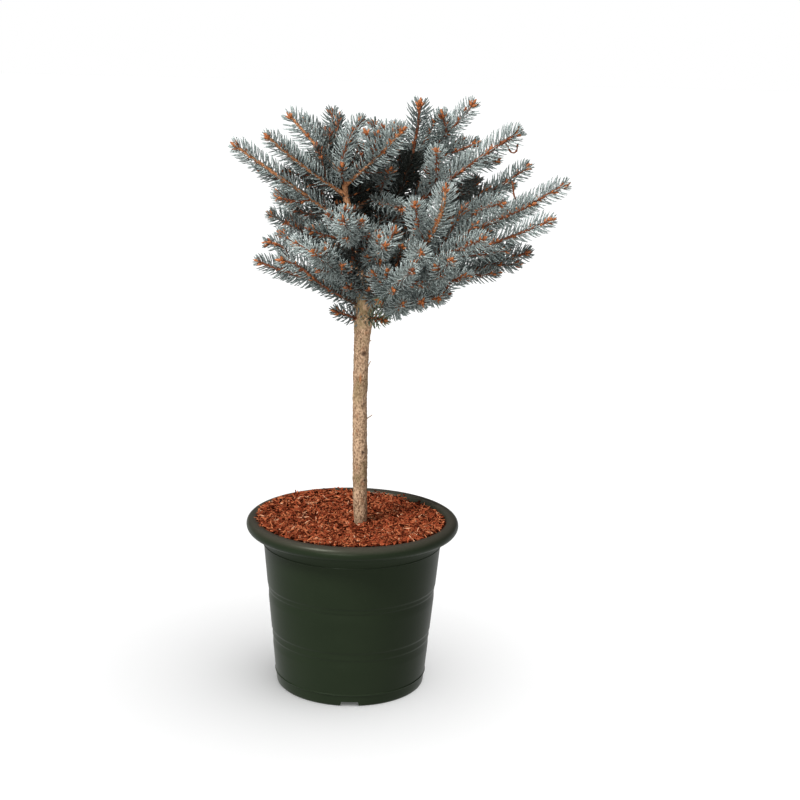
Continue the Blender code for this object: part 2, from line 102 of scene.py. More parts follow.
# ---- mulch ----
MULCH_TOP = 0.2326
MULCH_EDGE_RISE = 0.0094
MULCH_DIP = 0.0050
MULCH_DIP_ANGLE = radians(42)
MULCH_LEVEL = 0.0240
BED_RINGS, BED_SIDES = 44, 150
BED_RADIUS, BED_SINK = 0.128, 0.0016  # the bed lies this much under the level of the chips
BED_SKIRT = ((0.1280, 0.2290), (0.1222, 0.2090))
CHIP_COUNT = 7200
CHIP_RADIUS = 0.1360  # chips are strewn this far from the middle
CHIP_CLEAR = 0.0095  # and keep this far from the stem's middle
HEAPED_AT, HEAPED_FROM = radians(128), 0.130  # heading and radius where they lie over the rim's inner slope
# kinds of chip: share, shortest and longest, narrowest and widest
CHIP_KINDS = (
    (0.54, 0.0080, 0.0200, 0.0009, 0.0020),
    (0.34, 0.0050, 0.0110, 0.0016, 0.0036),
    (0.12, 0.0070, 0.0130, 0.0036, 0.0060),
)
CHIP_TONES = (("red", 0.45), ("dark", 0.24), ("orange", 0.27), ("pale", 0.04))

# ---- stem: height, sideways lean, radius ----
STEM = (
    (0.2329, 0.0110, 0.0086), (0.2349, 0.0110, 0.0089), (0.2450, 0.0107, 0.0098),
    (0.2700, 0.0099, 0.0101), (0.3400, 0.0084, 0.0103), (0.4119, 0.0070, 0.0099),
    (0.4900, 0.0079, 0.0106), (0.5110, 0.0091, 0.0118), (0.5330, 0.0105, 0.0139),
    (0.5530, 0.0110, 0.0139), (0.5760, 0.0090, 0.0118), (0.6010, 0.0062, 0.0094),
    (0.6450, -0.0040, 0.0070), (0.6890, -0.0160, 0.0048), (0.7330, -0.0215, 0.0030),
)
TRUNK_STEP, TRUNK_SIDES = 0.0011, 84
SMOOTHED_OVER = 15  # rows of the trunk's mesh

# ---- boughs: height on the stem, heading, reach, tip height, upturn, turn of the side shoots ----
BOUGHS = {
    "left_top": (0.650, 190, 0.177, 0.765, 0.15, 100),
    "left_upper": (0.696, 201, 0.139, 0.779, 0.10, 30),
    "left_crest": (0.718, 164, 0.108, 0.803, 0.10, 75),
    "back_left_crest": (0.688, 114, 0.110, 0.808, 0.30, 10),
    "front_crest": (0.709, 307, 0.091, 0.793, 0.10, 60),
    "right_crest": (0.640, 358, 0.076, 0.827, 0.75, 25),
    "back_right_crest": (0.672, 27, 0.175, 0.824, 0.20, 70),
    "right_top": (0.622, 1, 0.214, 0.788, 0.15, 50),
    "right_upper": (0.604, 22, 0.257, 0.735, 0.10, 15),
    "right_middle": (0.588, 4, 0.284, 0.717, 0.10, 70),
    "right_front": (0.574, 347, 0.263, 0.677, 0.10, 35),
    "right_low": (0.560, 16, 0.252, 0.616, 0.15, 90),
    "front_right_top": (0.612, 309, 0.168, 0.727, 0.60, 20),
    "front_right": (0.586, 313, 0.230, 0.664, 0.15, 45),
    "low_right": (0.541, 342, 0.128, 0.571, 0.10, 100),
    "low_front": (0.552, 291, 0.184, 0.623, 0.20, 55),
    "front_middle": (0.598, 283, 0.140, 0.648, 0.20, 10),
    "front_left_top": (0.628, 262, 0.172, 0.683, 0.20, 30),
    "front_left": (0.572, 246, 0.155, 0.640, 0.15, 65),
    "low_left": (0.543, 214, 0.086, 0.595, 0.15, 40),
    "left_low": (0.560, 190, 0.146, 0.609, 0.10, 90),
    "left_middle": (0.612, 165, 0.135, 0.667, 0.10, 50),
    "back_left": (0.590, 137, 0.170, 0.690, 0.15, 35),
    "back": (0.634, 88, 0.170, 0.735, 0.25, 70),
    "back_low": (0.566, 103, 0.170, 0.610, 0.15, 20),
    "back_right": (0.620, 58, 0.200, 0.690, 0.20, 55),
    "back_right_low": (0.574, 50, 0.190, 0.600, 0.10, 80),
}
CROWN_TIP = (0.007, 0.020, 0.800)
CROWN_TIP_TURN = 30
AXIS_X = 0.005
CELL_CENTRE = (AXIS_X, 0.0, 0.585)
BOUGH_SHARE = 0.38
BOUGH_POINTS = 6
BOUGH_END = 0.60
WOOD_THIN = 0.0016
WOOD_GROWTH = 0.0110
TIP_WOOD = 0.0030
CORE = 0.0034
# side shoots: place on the leader, turn round it, spread in degrees, share of its length
WHORL = ((0.10, 0, 36, 0.58), (0.13, 128, 34, 0.52), (0.16, 244, 34, 0.54))
UPPER = ((0.48, 60, 32, 0.40), (0.53, 236, 32, 0.38))
TURN_SPREAD, LEAN_SPREAD = 14, 5
UNDER_LEAN, UNDER_REACH = 0.4, 0.2
STRAIGHTEN = 0.6
LIFT = 0.10
LONG_LEADER = 0.135
SHORTENED = (1.0, 0.85, 0.7, 0.55)
SIDE_ROOT = 0.15
SEED = 11
MARGIN = 0.0004
SEAT = 0.0020
AXIS_POINTS = 9

# ---- shoots that grow from a bough or the stem, beside the rule's own ----
# what carries it, share along that bough (or height on the stem), tone, then knee and tip in tenths of a millimetre
SPRAYS = (
    ("front_crest", 0.5, "silver", 151, -320, 7675, 58, -300, 7863),
    ("back_right_crest", 0.2, "blue", 339, -73, 7197, 438, -350, 7377),
    ("back_right_crest", 0.7, "silver", 1238, 399, 7729, 1098, 300, 8106),
    ("right_top", 0.48, "silver", 1062, -349, 7299, 996, -700, 7663),
    ("right_top", 0.46, "blue", 994, -111, 7135, 903, -300, 7397),
    ("back_right_crest", 0.47, "blue", 1237, 365, 7490, 1656, 300, 7703),
    ("back_left_crest", 0.59, "blue", -557, 555, 7725, -788, 450, 7963),
    ("front_crest", 0.72, "silver", 432, -476, 7694, 281, -300, 7946),
    ("back_right_crest", 0.37, "blue", 529, 129, 7590, 456, -100, 7952),
    ("front_crest", 0.53, "blue", 284, -149, 7717, 150, 0, 7980),
    ("right_top", 0.65, "blue", 1433, 62, 7322, 1929, 200, 7487),
    ("right_middle", 0.59, "silver", 1823, 151, 6596, 2364, -400, 6948),
    ("right_middle", 0.45, "silver", 1401, -133, 6813, 1921, -850, 6985),
    ("front_right", 0.56, "blue", 1376, -999, 6932, 1415, -1000, 6990),
    ("low_right", 0.55, "silver", 1071, -1091, 6097, 1213, -1500, 6342),
    ("low_right", 0.92, "silver", 1236, -414, 5965, 1530, -600, 5968),
    ("front_right_top", 0.55, "silver", 786, -940, 6613, 717, -1350, 7037),
    ("back_right_crest", 0.13, "blue", 275, -65, 6901, 613, -700, 6851),
    ("front_left_top", 0.31, "blue", 60, -782, 6477, 312, -1100, 6605),
    ("front_right", 0.38, "silver", 764, -1077, 6257, 811, -1650, 6431),
    ("low_front", 0.37, "silver", 496, -877, 5690, 180, -1100, 6109),
    ("front_right", 0.43, "silver", 1279, -1003, 5846, 984, -1300, 6232),
    ("low_right", 0.86, "silver", 1032, -249, 6056, 798, -1000, 5896),
    ("back_right_low", 0.04, "blue", 181, -4, 5600, -145, -550, 5806),
    ("low_front", 0.36, "green", 395, -712, 5670, 246, -650, 5588),
    ("stem", 0.528, "green", 270, -193, 5323, 429, -400, 5316),
    ("low_right", 0.29, "silver", 484, -307, 5363, 619, -1050, 5689),
    ("low_right", 0.48, "silver", 672, -217, 5627, 887, -900, 5656),
    ("low_right", 0.67, "silver", 878, -264, 5716, 1118, -750, 5675),
    ("stem", 0.524, "blue", -125, -192, 5355, -344, -300, 5434),
    ("front_left", 0.67, "blue", -759, -685, 6360, -1072, -450, 6509),
    ("left_low", 0.73, "blue", -808, -143, 6335, -1292, -100, 6300),
    ("front_left_top", 0.3, "blue", -392, -705, 6456, -690, -800, 6612),
    ("left_top", 0.36, "blue", -739, -185, 6812, -1128, -200, 6960),
    ("front_left", 0.92, "silver", -697, -1174, 6416, -849, -1000, 6439),
    ("low_left", 0.92, "silver", -788, -512, 6123, -1076, -600, 6143),
    ("front_left", 0.6, "blue", -231, -866, 6251, -458, -1100, 6356),
    ("back_left_crest", 0.04, "blue", -165, 39, 6913, -389, 100, 7148),
    ("front_middle", 0.91, "silver", 442, -1238, 6531, 487, -1200, 6710),
    ("low_right", 0.34, "silver", 576, -669, 5741, 621, -1200, 5963),
    ("left_upper", 0.26, "blue", -475, -91, 7202, -800, 200, 7400),
    # the shoots below in deep and old tone stand in the crown's dark inside, and their dark needles are painted shade
    ("back_left_crest", 0.17, "deep", -92, 247, 7360, 35, 300, 7680),
    ("back_right_crest", 0.13, "old", 297, 254, 7167, 451, 400, 7439),
    ("back_right_crest", 0.24, "old", 429, 254, 6942, 607, 500, 7340),
    ("right_crest", 0.56, "old", 713, -54, 7056, 808, 500, 7549),
    ("right_top", 0.49, "deep", 1320, 54, 6814, 1528, 300, 7063),
    ("right_top", 0.56, "deep", 1422, 17, 6948, 1662, 500, 7198),
    ("stem", 0.712, "blue", -244, -83, 7157, -212, -300, 7412),
    ("right_top", 0.43, "deep", 1128, 136, 7096, 1239, 200, 7337),
    ("right_top", 0.39, "deep", 1177, 216, 7149, 1398, 400, 7433),
    ("right_top", 0.54, "deep", 1424, 34, 6818, 1641, 400, 7193),
)
# boughs whose outer needles are blue rather than silver: a darker tone, partly the needles' own colour and partly
# painted shade on boughs that stand in shade
DUSKY = ("left_low", "right_upper", "right_low", "left_middle", "low_left", "right_crest", "back_left_crest")
FRONT_DEPTH = 0.050  # boughs whose tip is nearer than this keep only the side shoots behind them
SIDE_BEHIND = 0.012  # behind: the shoot's tip is this much farther back than the leader's

# ---- the trunk's bark ----
KNOTS = (  # height, heading, size
    (0.4800, 289, 1.6), (0.3390, 296, 1.3), (0.2985, 304, 1.1), (0.4120, 290, 1.0), (0.5220, 240, 1.4),
    (0.3650, 232, 0.8), (0.4300, 90, 1.0), (0.3600, 140, 0.9), (0.5080, 30, 1.2), (0.5620, 275, 1.3),
)
DARK_KNOTS = 3  # the first of them are dark as well
KNOT_HALF, KNOT_TINT = 0.0026, (0.050, 0.028, 0.020)
BARK_MARKS = (  # height, heading, half width, width over height, colour
    (0.4448, 270, 0.0022, 0.26, (0.440, 0.200, 0.090)),
    (0.4120, 301, 0.0009, 0.09, (0.035, 0.020, 0.014)),
)
BARK_PATCHES = (  # olive and rusty: scale, detail, from, to, share, colour
    (46.0, 3.0, 0.48, 0.62, 0.55, (0.240, 0.190, 0.092)),
    (130.0, 2.0, 0.60, 0.72, 0.60, (0.330, 0.150, 0.072)),
)
TWIGLETS = (  # dead stubs: height, heading, length, radius, rise
    (0.4590, 350, 0.0045, 0.0005, 2.1), (0.3850, 355, 0.0085, 0.0005, 0.75), (0.4950, 8, 0.0030, 0.0006, 0.5),
    (0.4480, 75, 0.0060, 0.0008, 0.5), (0.5050, 130, 0.0060, 0.0008, 0.4), (0.3300, 110, 0.0050, 0.0007, 0.3),
)

# ---- shoots ----
GROWN_LOW = 0.600  # boughs that leave the stem below this grow no small shoots on their underside
TIP_TRIM = 0.0050  # a shoot's wood ends this much before its line, where the buds start
TWIG_ROOT, TWIG_TIP = 0.0023, 0.0017
INNER_TWIG = (0.0015, 0.0010)
TWIG_STEP, BOUGH_STEP = 0.0022, 0.0015
TWIG_SIDES, BOUGH_SIDES = 7, 14
NEEDLE_LENGTH = 0.0212
BOUGH_NEEDLES, INNER_NEEDLES, HUB_NEEDLES = 0.0200, 0.0170, 0.0190
NEEDLE_WIDTH = 0.00186
NEEDLES_A_METRE = 1560
NEEDLE_RINGS = ((0.0, 0.60), (0.35, 1.0), (0.80, 0.84))  # place along it, share of its width
SIMPLE_RINGS = ((0.0, 0.70), (0.55, 1.0))
SIMPLE_TONES = ("deep", "old")  # deep in the crown a needle has one ring fewer
TOWARD_FRONT = (0.0, -0.97, 0.22)  # needles part on the side of a shoot that faces this way
BUD_SIDES = 6
BUD_PROFILE = ((0.0, 0.62), (0.22, 0.96), (0.30, 0.86), (0.52, 0.84), (0.60, 0.66), (0.80, 0.42))
LONG_NEEDLES = {  # leaders with longer needles
    "front_crest": 1.22, "right_top": 1.18, "left_crest": 1.22, "front_right_top": 1.15, "right_crest": 1.1}
STOUT = {  # leaders with a twig thicker than the rest
    "front_right_top": 1.5, "front_crest": 1.05, "left_top": 1.2, "left_upper": 1.2, "left_crest": 1.15,
    "right_top": 1.2, "right_middle": 1.2, "right_crest": 1.15,
}
# boughs and leaders with pale bark
PALE_TWIGS = ("left_top", "left_upper", "left_crest", "front_crest", "front_right_top")
SHADED = {"right_crest": 0.55}  # share of a leader that stands in the dark hollow, drawn with painted shade: dark bark and very dark needles
INNER_SHOOTS = 6  # small shoots on the bare part of a bough, whose dark needles are partly painted shade
HUB_SHOOTS, HUB_LOW, HUB_HIGH = 40, 0.570, 0.712  # short shoots on the back of the stem, between two heights, whose very dark needles and bark are painted shade
# side shoots left out, so that the crown is open there, and upturns that the looks give some leaders
LEFT_OUT = {"back_right_crest": (3, 4), "right_upper": (3,), "right_middle": (3,)}
REBENT = {"left_top": 0.0, "left_crest": -0.02, "right_top": -0.07, "front_right_top": 0.95}
STALKS = (  # dry stalks caught under the right leaders, in tenths of a millimetre
    ((1931, 40, 7779), (1996, 40, 7660), (2047, 40, 7575), (2094, 40, 7569), (2127, 40, 7603), (2134, 40, 7697)),
    ((2083, 120, 7186), (2106, 120, 7105), (2112, 120, 7024), (2137, 120, 6943)),
)

# ---- finishes: dark and light tone, scale of the grain, roughness, specular level, relief and its own scale ----
FINISHES = {
    "bough_bark": ((0.080, 0.042, 0.026), (0.250, 0.140, 0.085), 260, 0.85, 0.2, 0.0005, 700),
    "twig_bark": ((0.110, 0.034, 0.017), (0.370, 0.138, 0.064), 420, 0.70, 0.3, 0.0004, 900),
    "twig_bark_pale": ((0.210, 0.080, 0.034), (0.640, 0.320, 0.155), 420, 0.70, 0.3, 0.0004, 900),
    # twig bark painted dark as shade, for twigs in the crown's dark hollow and on the dark inner shoots
    "twig_bark_painted_shade": ((0.030, 0.015, 0.010), (0.080, 0.036, 0.022), 420, 0.85, 0.1, 0.0003, 900),
    "bud_scales_amber": ((0.260, 0.078, 0.026), (0.580, 0.225, 0.080), 500, 0.50, 0.4, 0.0003, 1000),
    "bud_scales_brown": ((0.120, 0.036, 0.017), (0.320, 0.110, 0.044), 500, 0.60, 0.4, 0.0003, 1000),
    # the bed's dark colour is partly painted shade in the gaps between the chips
    "mulch_bed": ((0.035, 0.006, 0.002), (0.110, 0.022, 0.007), 420, 0.95, 0.03, 0.0010, 900),
    "chip_red": ((0.172, 0.036, 0.012), (0.430, 0.114, 0.052), 330, 0.88, 0.06, 0.0002, 1500),
    "chip_dark": ((0.060, 0.011, 0.004), (0.160, 0.034, 0.014), 330, 0.90, 0.06, 0.0002, 1500),
    "chip_orange": ((0.300, 0.090, 0.036), (0.600, 0.222, 0.106), 330, 0.85, 0.1, 0.0002, 1500),
    "chip_pale": ((0.480, 0.240, 0.135), (0.720, 0.440, 0.290), 330, 0.85, 0.1, 0.0002, 1500),
    "needle_silver": ((0.128, 0.160, 0.153), (0.640, 0.708, 0.688), 430, 0.46, 0.45),
    "needle_blue": ((0.068, 0.088, 0.083), (0.420, 0.476, 0.460), 430, 0.48, 0.45),
    "needle_green": ((0.110, 0.145, 0.096), (0.340, 0.390, 0.280), 430, 0.52, 0.40),
    # the deep and old needles are darker than real needles: partly the colour of older needles, mostly painted shade
    # inside the crown
    "needle_deep": ((0.024, 0.030, 0.026), (0.190, 0.208, 0.194), 430, 0.55, 0.30),
    "needle_old": ((0.014, 0.017, 0.014), (0.056, 0.063, 0.055), 430, 0.65, 0.15),
}


# ======== meshes ========
def unit(v):
    return v / np.maximum(np.linalg.norm(v, axis=-1, keepdims=True), 1e-12)


def tenths(values):
    """A point given in tenths of a millimetre."""
    return Vector([value / 10000 for value in values])


def placed(name, data):
    """A new object in the scene."""
    made = bpy.data.objects.new(name, data)
    bpy.context.scene.collection.objects.link(made)
    return made


def dress(piece, replaced=()):
    """Hides the nodes of the part that the piece stands for."""
    if replaced:
        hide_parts(*replaced)


def mesh_object(name, verts, faces, finish, body="root", smooth=True):
    """One piece from an array of points and arrays of triangles or quads."""
    faces = [f for f in faces if len(f)]
    mesh = bpy.data.meshes.new(name)
    mesh.vertices.add(len(verts))
    mesh.vertices.foreach_set("co", np.asarray(verts, np.float32).ravel())
    sizes = np.concatenate([np.full(len(f), f.shape[1], np.int32) for f in faces])
    corners = np.concatenate([f.ravel() for f in faces]).astype(np.int32)
    mesh.loops.add(len(corners))
    mesh.loops.foreach_set("vertex_index", corners)
    mesh.polygons.add(len(sizes))
    mesh.polygons.foreach_set("loop_start", np.concatenate([[0], np.cumsum(sizes)[:-1]]).astype(np.int32))
    mesh.polygons.foreach_set("use_smooth", np.full(len(sizes), smooth))
    mesh.update(calc_edges=True)
    mesh.validate()
    mesh.materials.append(finish)
    made = placed(name, mesh)
    if body:
        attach(made, body)
    return made


class Heap:
    """Many small meshes gathered into one."""

    def __init__(self):
        self.verts, self.tris, self.quads, self.count = [], [], [], 0

    def add(self, verts, tris=(), quads=()):
        self.verts.append(np.asarray(verts, float).reshape(-1, 3))
        if len(tris):
            self.tris.append(np.asarray(tris, int) + self.count)
        if len(quads):
            self.quads.append(np.asarray(quads, int) + self.count)
        self.count += len(self.verts[-1])

    def build(self, name, finish, slot, replaced=(), smooth=True):
        faces = [np.concatenate(part) for part in (self.tris, self.quads) if part]
        dress(mesh_object(name, np.concatenate(self.verts), faces, finish, smooth=smooth), replaced)


def grid_quads(rings, sides):
    ring, side = np.meshgrid(np.arange(rings - 1), np.arange(sides), indexing="ij")
    a = ring * sides + side
    b = ring * sides + (side + 1) % sides
    return np.stack([a, b, b + sides, a + sides], -1).reshape(-1, 4)


def fan(first, sides, centre, flipped=False):
    """Triangles from a ring, given by its first vertex, to a centre."""
    around = np.arange(sides)
    rim = [first + around, first + (around + 1) % sides]
    return np.stack([*(rim[::-1] if flipped else rim), np.full(sides, centre)], -1)


def turns(sides):
    return 2 * pi * np.arange(sides) / sides


def ring_of(side, up, angles):
    """Directions all round, from two cross axes."""
    return side[..., None, :] * np.cos(angles)[:, None] + up[..., None, :] * np.sin(angles)[:, None]


def spans(points):
    return np.linalg.norm(np.diff(points, axis=0), axis=1)


def running(points):
    """The length along a line at each of its points."""
    return np.concatenate([[0], np.cumsum(spans(points))])


def sample(at, run, table):
    """A table of three columns, read between its stations."""
    return np.stack([np.interp(at, run, table[:, k]) for k in range(3)], -1)


def carried_frames(points):
    """Tangent and two cross axes at each point, carried along without twist."""
    ahead = unit(np.gradient(points, axis=0))
    side = np.cross(ahead[0], (0.0, 0.0, 1.0))
    if np.linalg.norm(side) < 0.2:
        side = np.cross(ahead[0], (0.0, 1.0, 0.0))
    sides = [side / np.linalg.norm(side)]
    for t in ahead[1:]:
        side = sides[-1] - t * sides[-1].dot(t)
        sides.append(side / np.linalg.norm(side))
    sides = np.array(sides)
    return ahead, sides, np.cross(sides, ahead)


def tube(heap, points, radii, sides, bump=None):
    """A round limb with open root, closed at its end; bump gives each vertex its own radius factor."""
    ahead, side, up = carried_frames(points)
    wide = np.asarray(radii, float)[:, None, None]
    if bump is not None:
        wide = wide * bump[..., None]
    verts = (points[:, None] + ring_of(side, up, turns(sides)) * wide).reshape(-1, 3)
    nose = points[-1] + ahead[-1] * radii[-1] * 0.6
    count = len(points)
    heap.add(np.vstack([verts, nose]), fan((count - 1) * sides, sides, count * sides), grid_quads(count, sides))


# ======== materials ========
def new_material(name, roughness, specular=0.5):
    made = bpy.data.materials.new(name)
    made.use_nodes = True
    shader = made.node_tree.nodes["Principled BSDF"]
    shader.inputs["Roughness"].default_value = roughness
    shader.inputs["Specular IOR Level"].default_value = specular
    return made, shader, made.node_tree


def node(tree, kind, links=None, **values):
    made = tree.nodes.new(kind)
    for key, value in values.items():
        if key in made.inputs:
            made.inputs[key].default_value = value
        else:
            setattr(made, key, value)
    for key, value in (links or {}).items():
        tree.links.new(value, made.inputs[key])
    return made


def place(tree, scale=(1, 1, 1)):
    """Object coordinates, stretched."""
    coordinates = node(tree, "ShaderNodeTexCoord")
    return node(tree, "ShaderNodeMapping", {"Vector": coordinates.outputs["Object"]}, Scale=scale).outputs["Vector"]


def z_of(tree, vector):
    return node(tree, "ShaderNodeSeparateXYZ", {"Vector": vector}).outputs["Z"]


def ramp(tree, factor, stops):
    made = node(tree, "ShaderNodeValToRGB", {"Fac": factor})
    band = made.color_ramp
    while len(band.elements) < len(stops):
        band.elements.new(0.5)
    for slot, (at, colour) in zip(band.elements, stops):
        slot.position = at
        slot.color = (*colour, 1.0)
    return made.outputs["Color"]


def map_range(tree, value, low, high, to_low=0.0, to_high=1.0):
    made = node(tree, "ShaderNodeMapRange", {"Value": value})
    for slot, number in (("From Min", low), ("From Max", high), ("To Min", to_low), ("To Max", to_high)):
        made.inputs[slot].default_value = number
    return made.outputs["Result"]


def noise_node(tree, where, scale, detail=3.0, roughness=0.55):
    return node(tree, "ShaderNodeTexNoise", {"Vector": where},
                Scale=scale, Detail=detail, Roughness=roughness).outputs["Fac"]


def bump(tree, shader, height, distance, strength=0.6):
    made = node(tree, "ShaderNodeBump", {"Height": height}, Strength=strength, Distance=distance)
    tree.links.new(made.outputs["Normal"], shader.inputs["Normal"])


def blend_colours(tree, factor, first, second, kind="MIX"):
    made = node(tree, "ShaderNodeMix", {"Factor": factor}, data_type="RGBA", blend_type=kind)
    for slot, colour in ((6, first), (7, second)):
        if isinstance(colour, tuple):
            made.inputs[slot].default_value = (*colour, 1.0)
        else:
            tree.links.new(colour, made.inputs[slot])
    return made.outputs[2]


def mottled(name, dark, light, scale, roughness, specular, relief=0.0, relief_scale=0):
    """Two tones mixed by noise, with a little finer relief."""
    made, shader, tree = new_material(name, roughness, specular)
    where = place(tree)
    tones = ramp(tree, noise_node(tree, where, scale), ((0.32, dark), (0.68, light)))
    tree.links.new(tones, shader.inputs["Base Color"])
    if relief:
        bump(tree, shader, noise_node(tree, where, relief_scale), relief)
    return made


def pot_material():
    """Dark green plastic, faintly clouded, with pale specks, and on the rim's top a pale mix of dust and painted
    sheen.
    """
    made, shader, tree = new_material("moulded_green_plastic", 0.34, 0.15)
    where = place(tree)
    cloud = noise_node(tree, where, 9.0, 4.0)
    base = ramp(tree, cloud, ((0.30, (0.0157, 0.0243, 0.0121)), (0.75, (0.0203, 0.0300, 0.0155))))
    specks = ramp(tree, noise_node(tree, where, 420.0, 1.0), ((0.765, BLACK), (0.80, (0.035, 0.037, 0.030))))
    plastic = blend_colours(tree, noise_node(tree, where, 30.0), base, specks, "ADD")
    # dust and painted sheen: a pale colour on the rim's top, strongest where the surface faces up
    near_top = map_range(tree, z_of(tree, where), 0.2262, 0.2290, 0.0, RIM_DUST_AND_SHEEN)
    upward = map_range(tree, z_of(tree, node(tree, "ShaderNodeNewGeometry").outputs["Normal"]), 0.10, 0.95)
    dust_and_sheen = node(tree, "ShaderNodeMath", {0: near_top, 1: upward}, operation="MULTIPLY").outputs[0]
    colour = blend_colours(tree, dust_and_sheen, plastic, (0.088, 0.077, 0.064))
    tree.links.new(colour, shader.inputs["Base Color"])
    shader.inputs["Specular Tint"].default_value = (0.95, 1.0, 0.84, 1.0)
    bump(tree, shader, noise_node(tree, where, 1400.0, 2.0), 0.00008, 0.35)
    return made


def bark_material():
    """Brown scales with dark cracks, olive and rusty patches, dark at the knots, and redder up in the crown; from the
    trunk's middle upward it is painted lighter, painted light against the crown's shade.
    """
    made, shader, tree = new_material("scaly_bark", 0.85, 0.25)
    where = place(tree, (1.0, 1.0, 0.62))
    plates = node(tree, "ShaderNodeTexVoronoi", {"Vector": where}, feature="F1", Scale=420.0).outputs["Distance"]
    scales = node(tree, "ShaderNodeMath", {
        0: plates, 1: noise_node(tree, where, 70.0, 6.0, 0.7), 2: noise_node(tree, where, 720.0, 4.0, 0.75),
    }, operation="MULTIPLY_ADD").outputs[0]
    colour = ramp(tree, scales, (
        (0.34, (0.078, 0.047, 0.029)), (0.62, (0.250, 0.158, 0.094)), (0.90, (0.590, 0.420, 0.285))))
    for scale, detail, low, high, share, tint in BARK_PATCHES:
        patches = ramp(tree, noise_node(tree, where, scale, detail), ((low, BLACK), (high, (share,) * 3)))
        colour = blend_colours(tree, patches, colour, tint)
    marks = [(height, heading, KNOT_HALF * size, 1.0, KNOT_TINT) for height, heading, size in KNOTS[:DARK_KNOTS]]
    for height, heading, wide, slim, tint in (*marks, *BARK_MARKS):
        lean, radius = station(height)
        away = node(tree, "ShaderNodeVectorMath", {0: place(tree, (1.0, 1.0, slim))}, operation="DISTANCE")
        away.inputs[1].default_value = (
            lean + radius * cos(radians(heading)), radius * sin(radians(heading)), height * slim)
        shade = map_range(tree, away.outputs["Value"], 0.3 * wide, 1.15 * wide, 0.85, 0.0)
        colour = blend_colours(tree, shade, colour, tint)
    height = z_of(tree, place(tree))
    young = ramp(tree, scales, ((0.40, (0.120, 0.054, 0.026)), (0.75, (0.430, 0.215, 0.110))))
    colour = blend_colours(tree, map_range(tree, height, 0.555, 0.640, 0.0, 0.85), colour, young)
    # painted light: from the trunk's middle upward the bark's colour is scaled lighter, lifting the shade that the
    # crown casts on it
    painted_light_up = map_range(tree, height, 0.445, 0.505, 0.97, 1.36)
    shone = node(tree, "ShaderNodeVectorMath", {0: colour, "Scale": painted_light_up}, operation="SCALE")
    tree.links.new(shone.outputs["Vector"], shader.inputs["Base Color"])
    bump(tree, shader, scales, 0.0008, 0.9)
    return made


# ======== how the crown grows, as in the part's source ========
def station(height):
    for low, high in zip(STEM, STEM[1:]):
        if low[0] <= height <= high[0]:
            share = (height - low[0]) / (high[0] - low[0])
            return tuple(a + (b - a) * share for a, b in zip(low[1:], high[1:]))
    return STEM[-1][1:]


def on_stem(height):
    return Vector((station(height)[0], 0.0, height))


def bend(start, knee, end, share):
    rest = 1.0 - share
    return start * rest * rest + knee * 2 * rest * share + end * share * share


def walk(start, knee, end, first, last, count):
    return [bend(start, knee, end, first + (last - first) * i / (count - 1)) for i in range(count)]


def cross_axes(direction):
    level = direction.cross(Vector((0, 0, 1)))
    if level.length < 0.2:
        level = direction.cross(Vector((0, 1, 0)))
    level.normalize()
    return level, level.cross(direction).normalized()


def segment_gap(p1, q1, p2, q2):
    d1, d2, r = q1 - p1, q2 - p2, p1 - p2
    a, e, f = d1.length_squared, d2.length_squared, d2.dot(r)
    c, b = d1.dot(r), d1.dot(d2)
    bottom = a * e - b * b
    s = min(max((b * f - c * e) / bottom, 0.0), 1.0) if bottom > 1e-18 else 0.0
    t = (b * s + f) / e
    if t < 0.0:
        t, s = 0.0, min(max(-c / a, 0.0), 1.0)
    elif t > 1.0:
        t, s = 1.0, min(max((b - c) / a, 0.0), 1.0)
    return ((p1 + d1 * s) - (p2 + d2 * t)).length


def bough_line(row):
    hub, heading, reach, top, upturn, _ = row
    root = on_stem(hub)
    tip = Vector((AXIS_X + reach * cos(radians(heading)), reach * sin(radians(heading)), top))
    out = 0.5 + 0.5 * upturn
    knee = Vector((root.x + (tip.x - root.x) * out, tip.y * out, hub + (top - hub) * (1.0 - out)))
    return root, knee, tip


def leader_lines():
    lines = []
    for name, row in BOUGHS.items():
        root, knee, tip = bough_line(row)
        thick = WOOD_THIN + WOOD_GROWTH * ((knee - root).length + (tip - knee).length)
        lines.append((name, (root, knee, tip), thick, BOUGH_SHARE, row[5]))
    top = Vector((STEM[-1][1], 0.0, STEM[-1][0]))
    tip = Vector(CROWN_TIP)
    ahead = (top - Vector((STEM[-2][1], 0.0, STEM[-2][0]))).normalized()
    knee = top + ahead * (tip - top).length * 0.4
    lines.append(("tip", (top, knee, tip), TIP_WOOD, 0.0, CROWN_TIP_TURN))
    return lines


def cell_walls(lines):
    centre = Vector(CELL_CENTRE)
    headings = [(line[1][2] - centre).normalized() for line in lines]
    walls = []
    for i, mine in enumerate(headings):
        walls.append([(mine - other).normalized() for j, other in enumerate(headings) if j != i])
    return centre, walls


def side_lines(line, rng):
    _, (root, knee, tip), thick, share, turn = line
    length = (tip - bend(root, knee, tip, share)).length
    rule = WHORL + (UPPER if length > LONG_LEADER else UPPER[:1])
    for where, around, spread, part in rule:
        where = share + where * (1.0 - share)
        start = bend(root, knee, tip, where)
        ahead = (bend(root, knee, tip, where + 0.02) - start).normalized()
        level, up = cross_axes(ahead)
        angle = radians(turn + around + rng.uniform(-TURN_SPREAD, TURN_SPREAD))
        under = max(0.0, -sin(angle))
        lean = radians(spread + rng.uniform(-LEAN_SPREAD, LEAN_SPREAD)) * (1.0 - UNDER_LEAN * under)
        across = level * cos(angle) + up * sin(angle)
        reach = length * part * rng.uniform(0.92, 1.08) * (1.0 - UNDER_REACH * under)
        middle = start + (ahead * cos(lean) + across * sin(lean)) * reach * 0.5
        lean *= STRAIGHTEN
        end = middle + (ahead * cos(lean) + across * sin(lean) + Vector((0, 0, LIFT))) * reach * 0.5
        yield start, middle, end


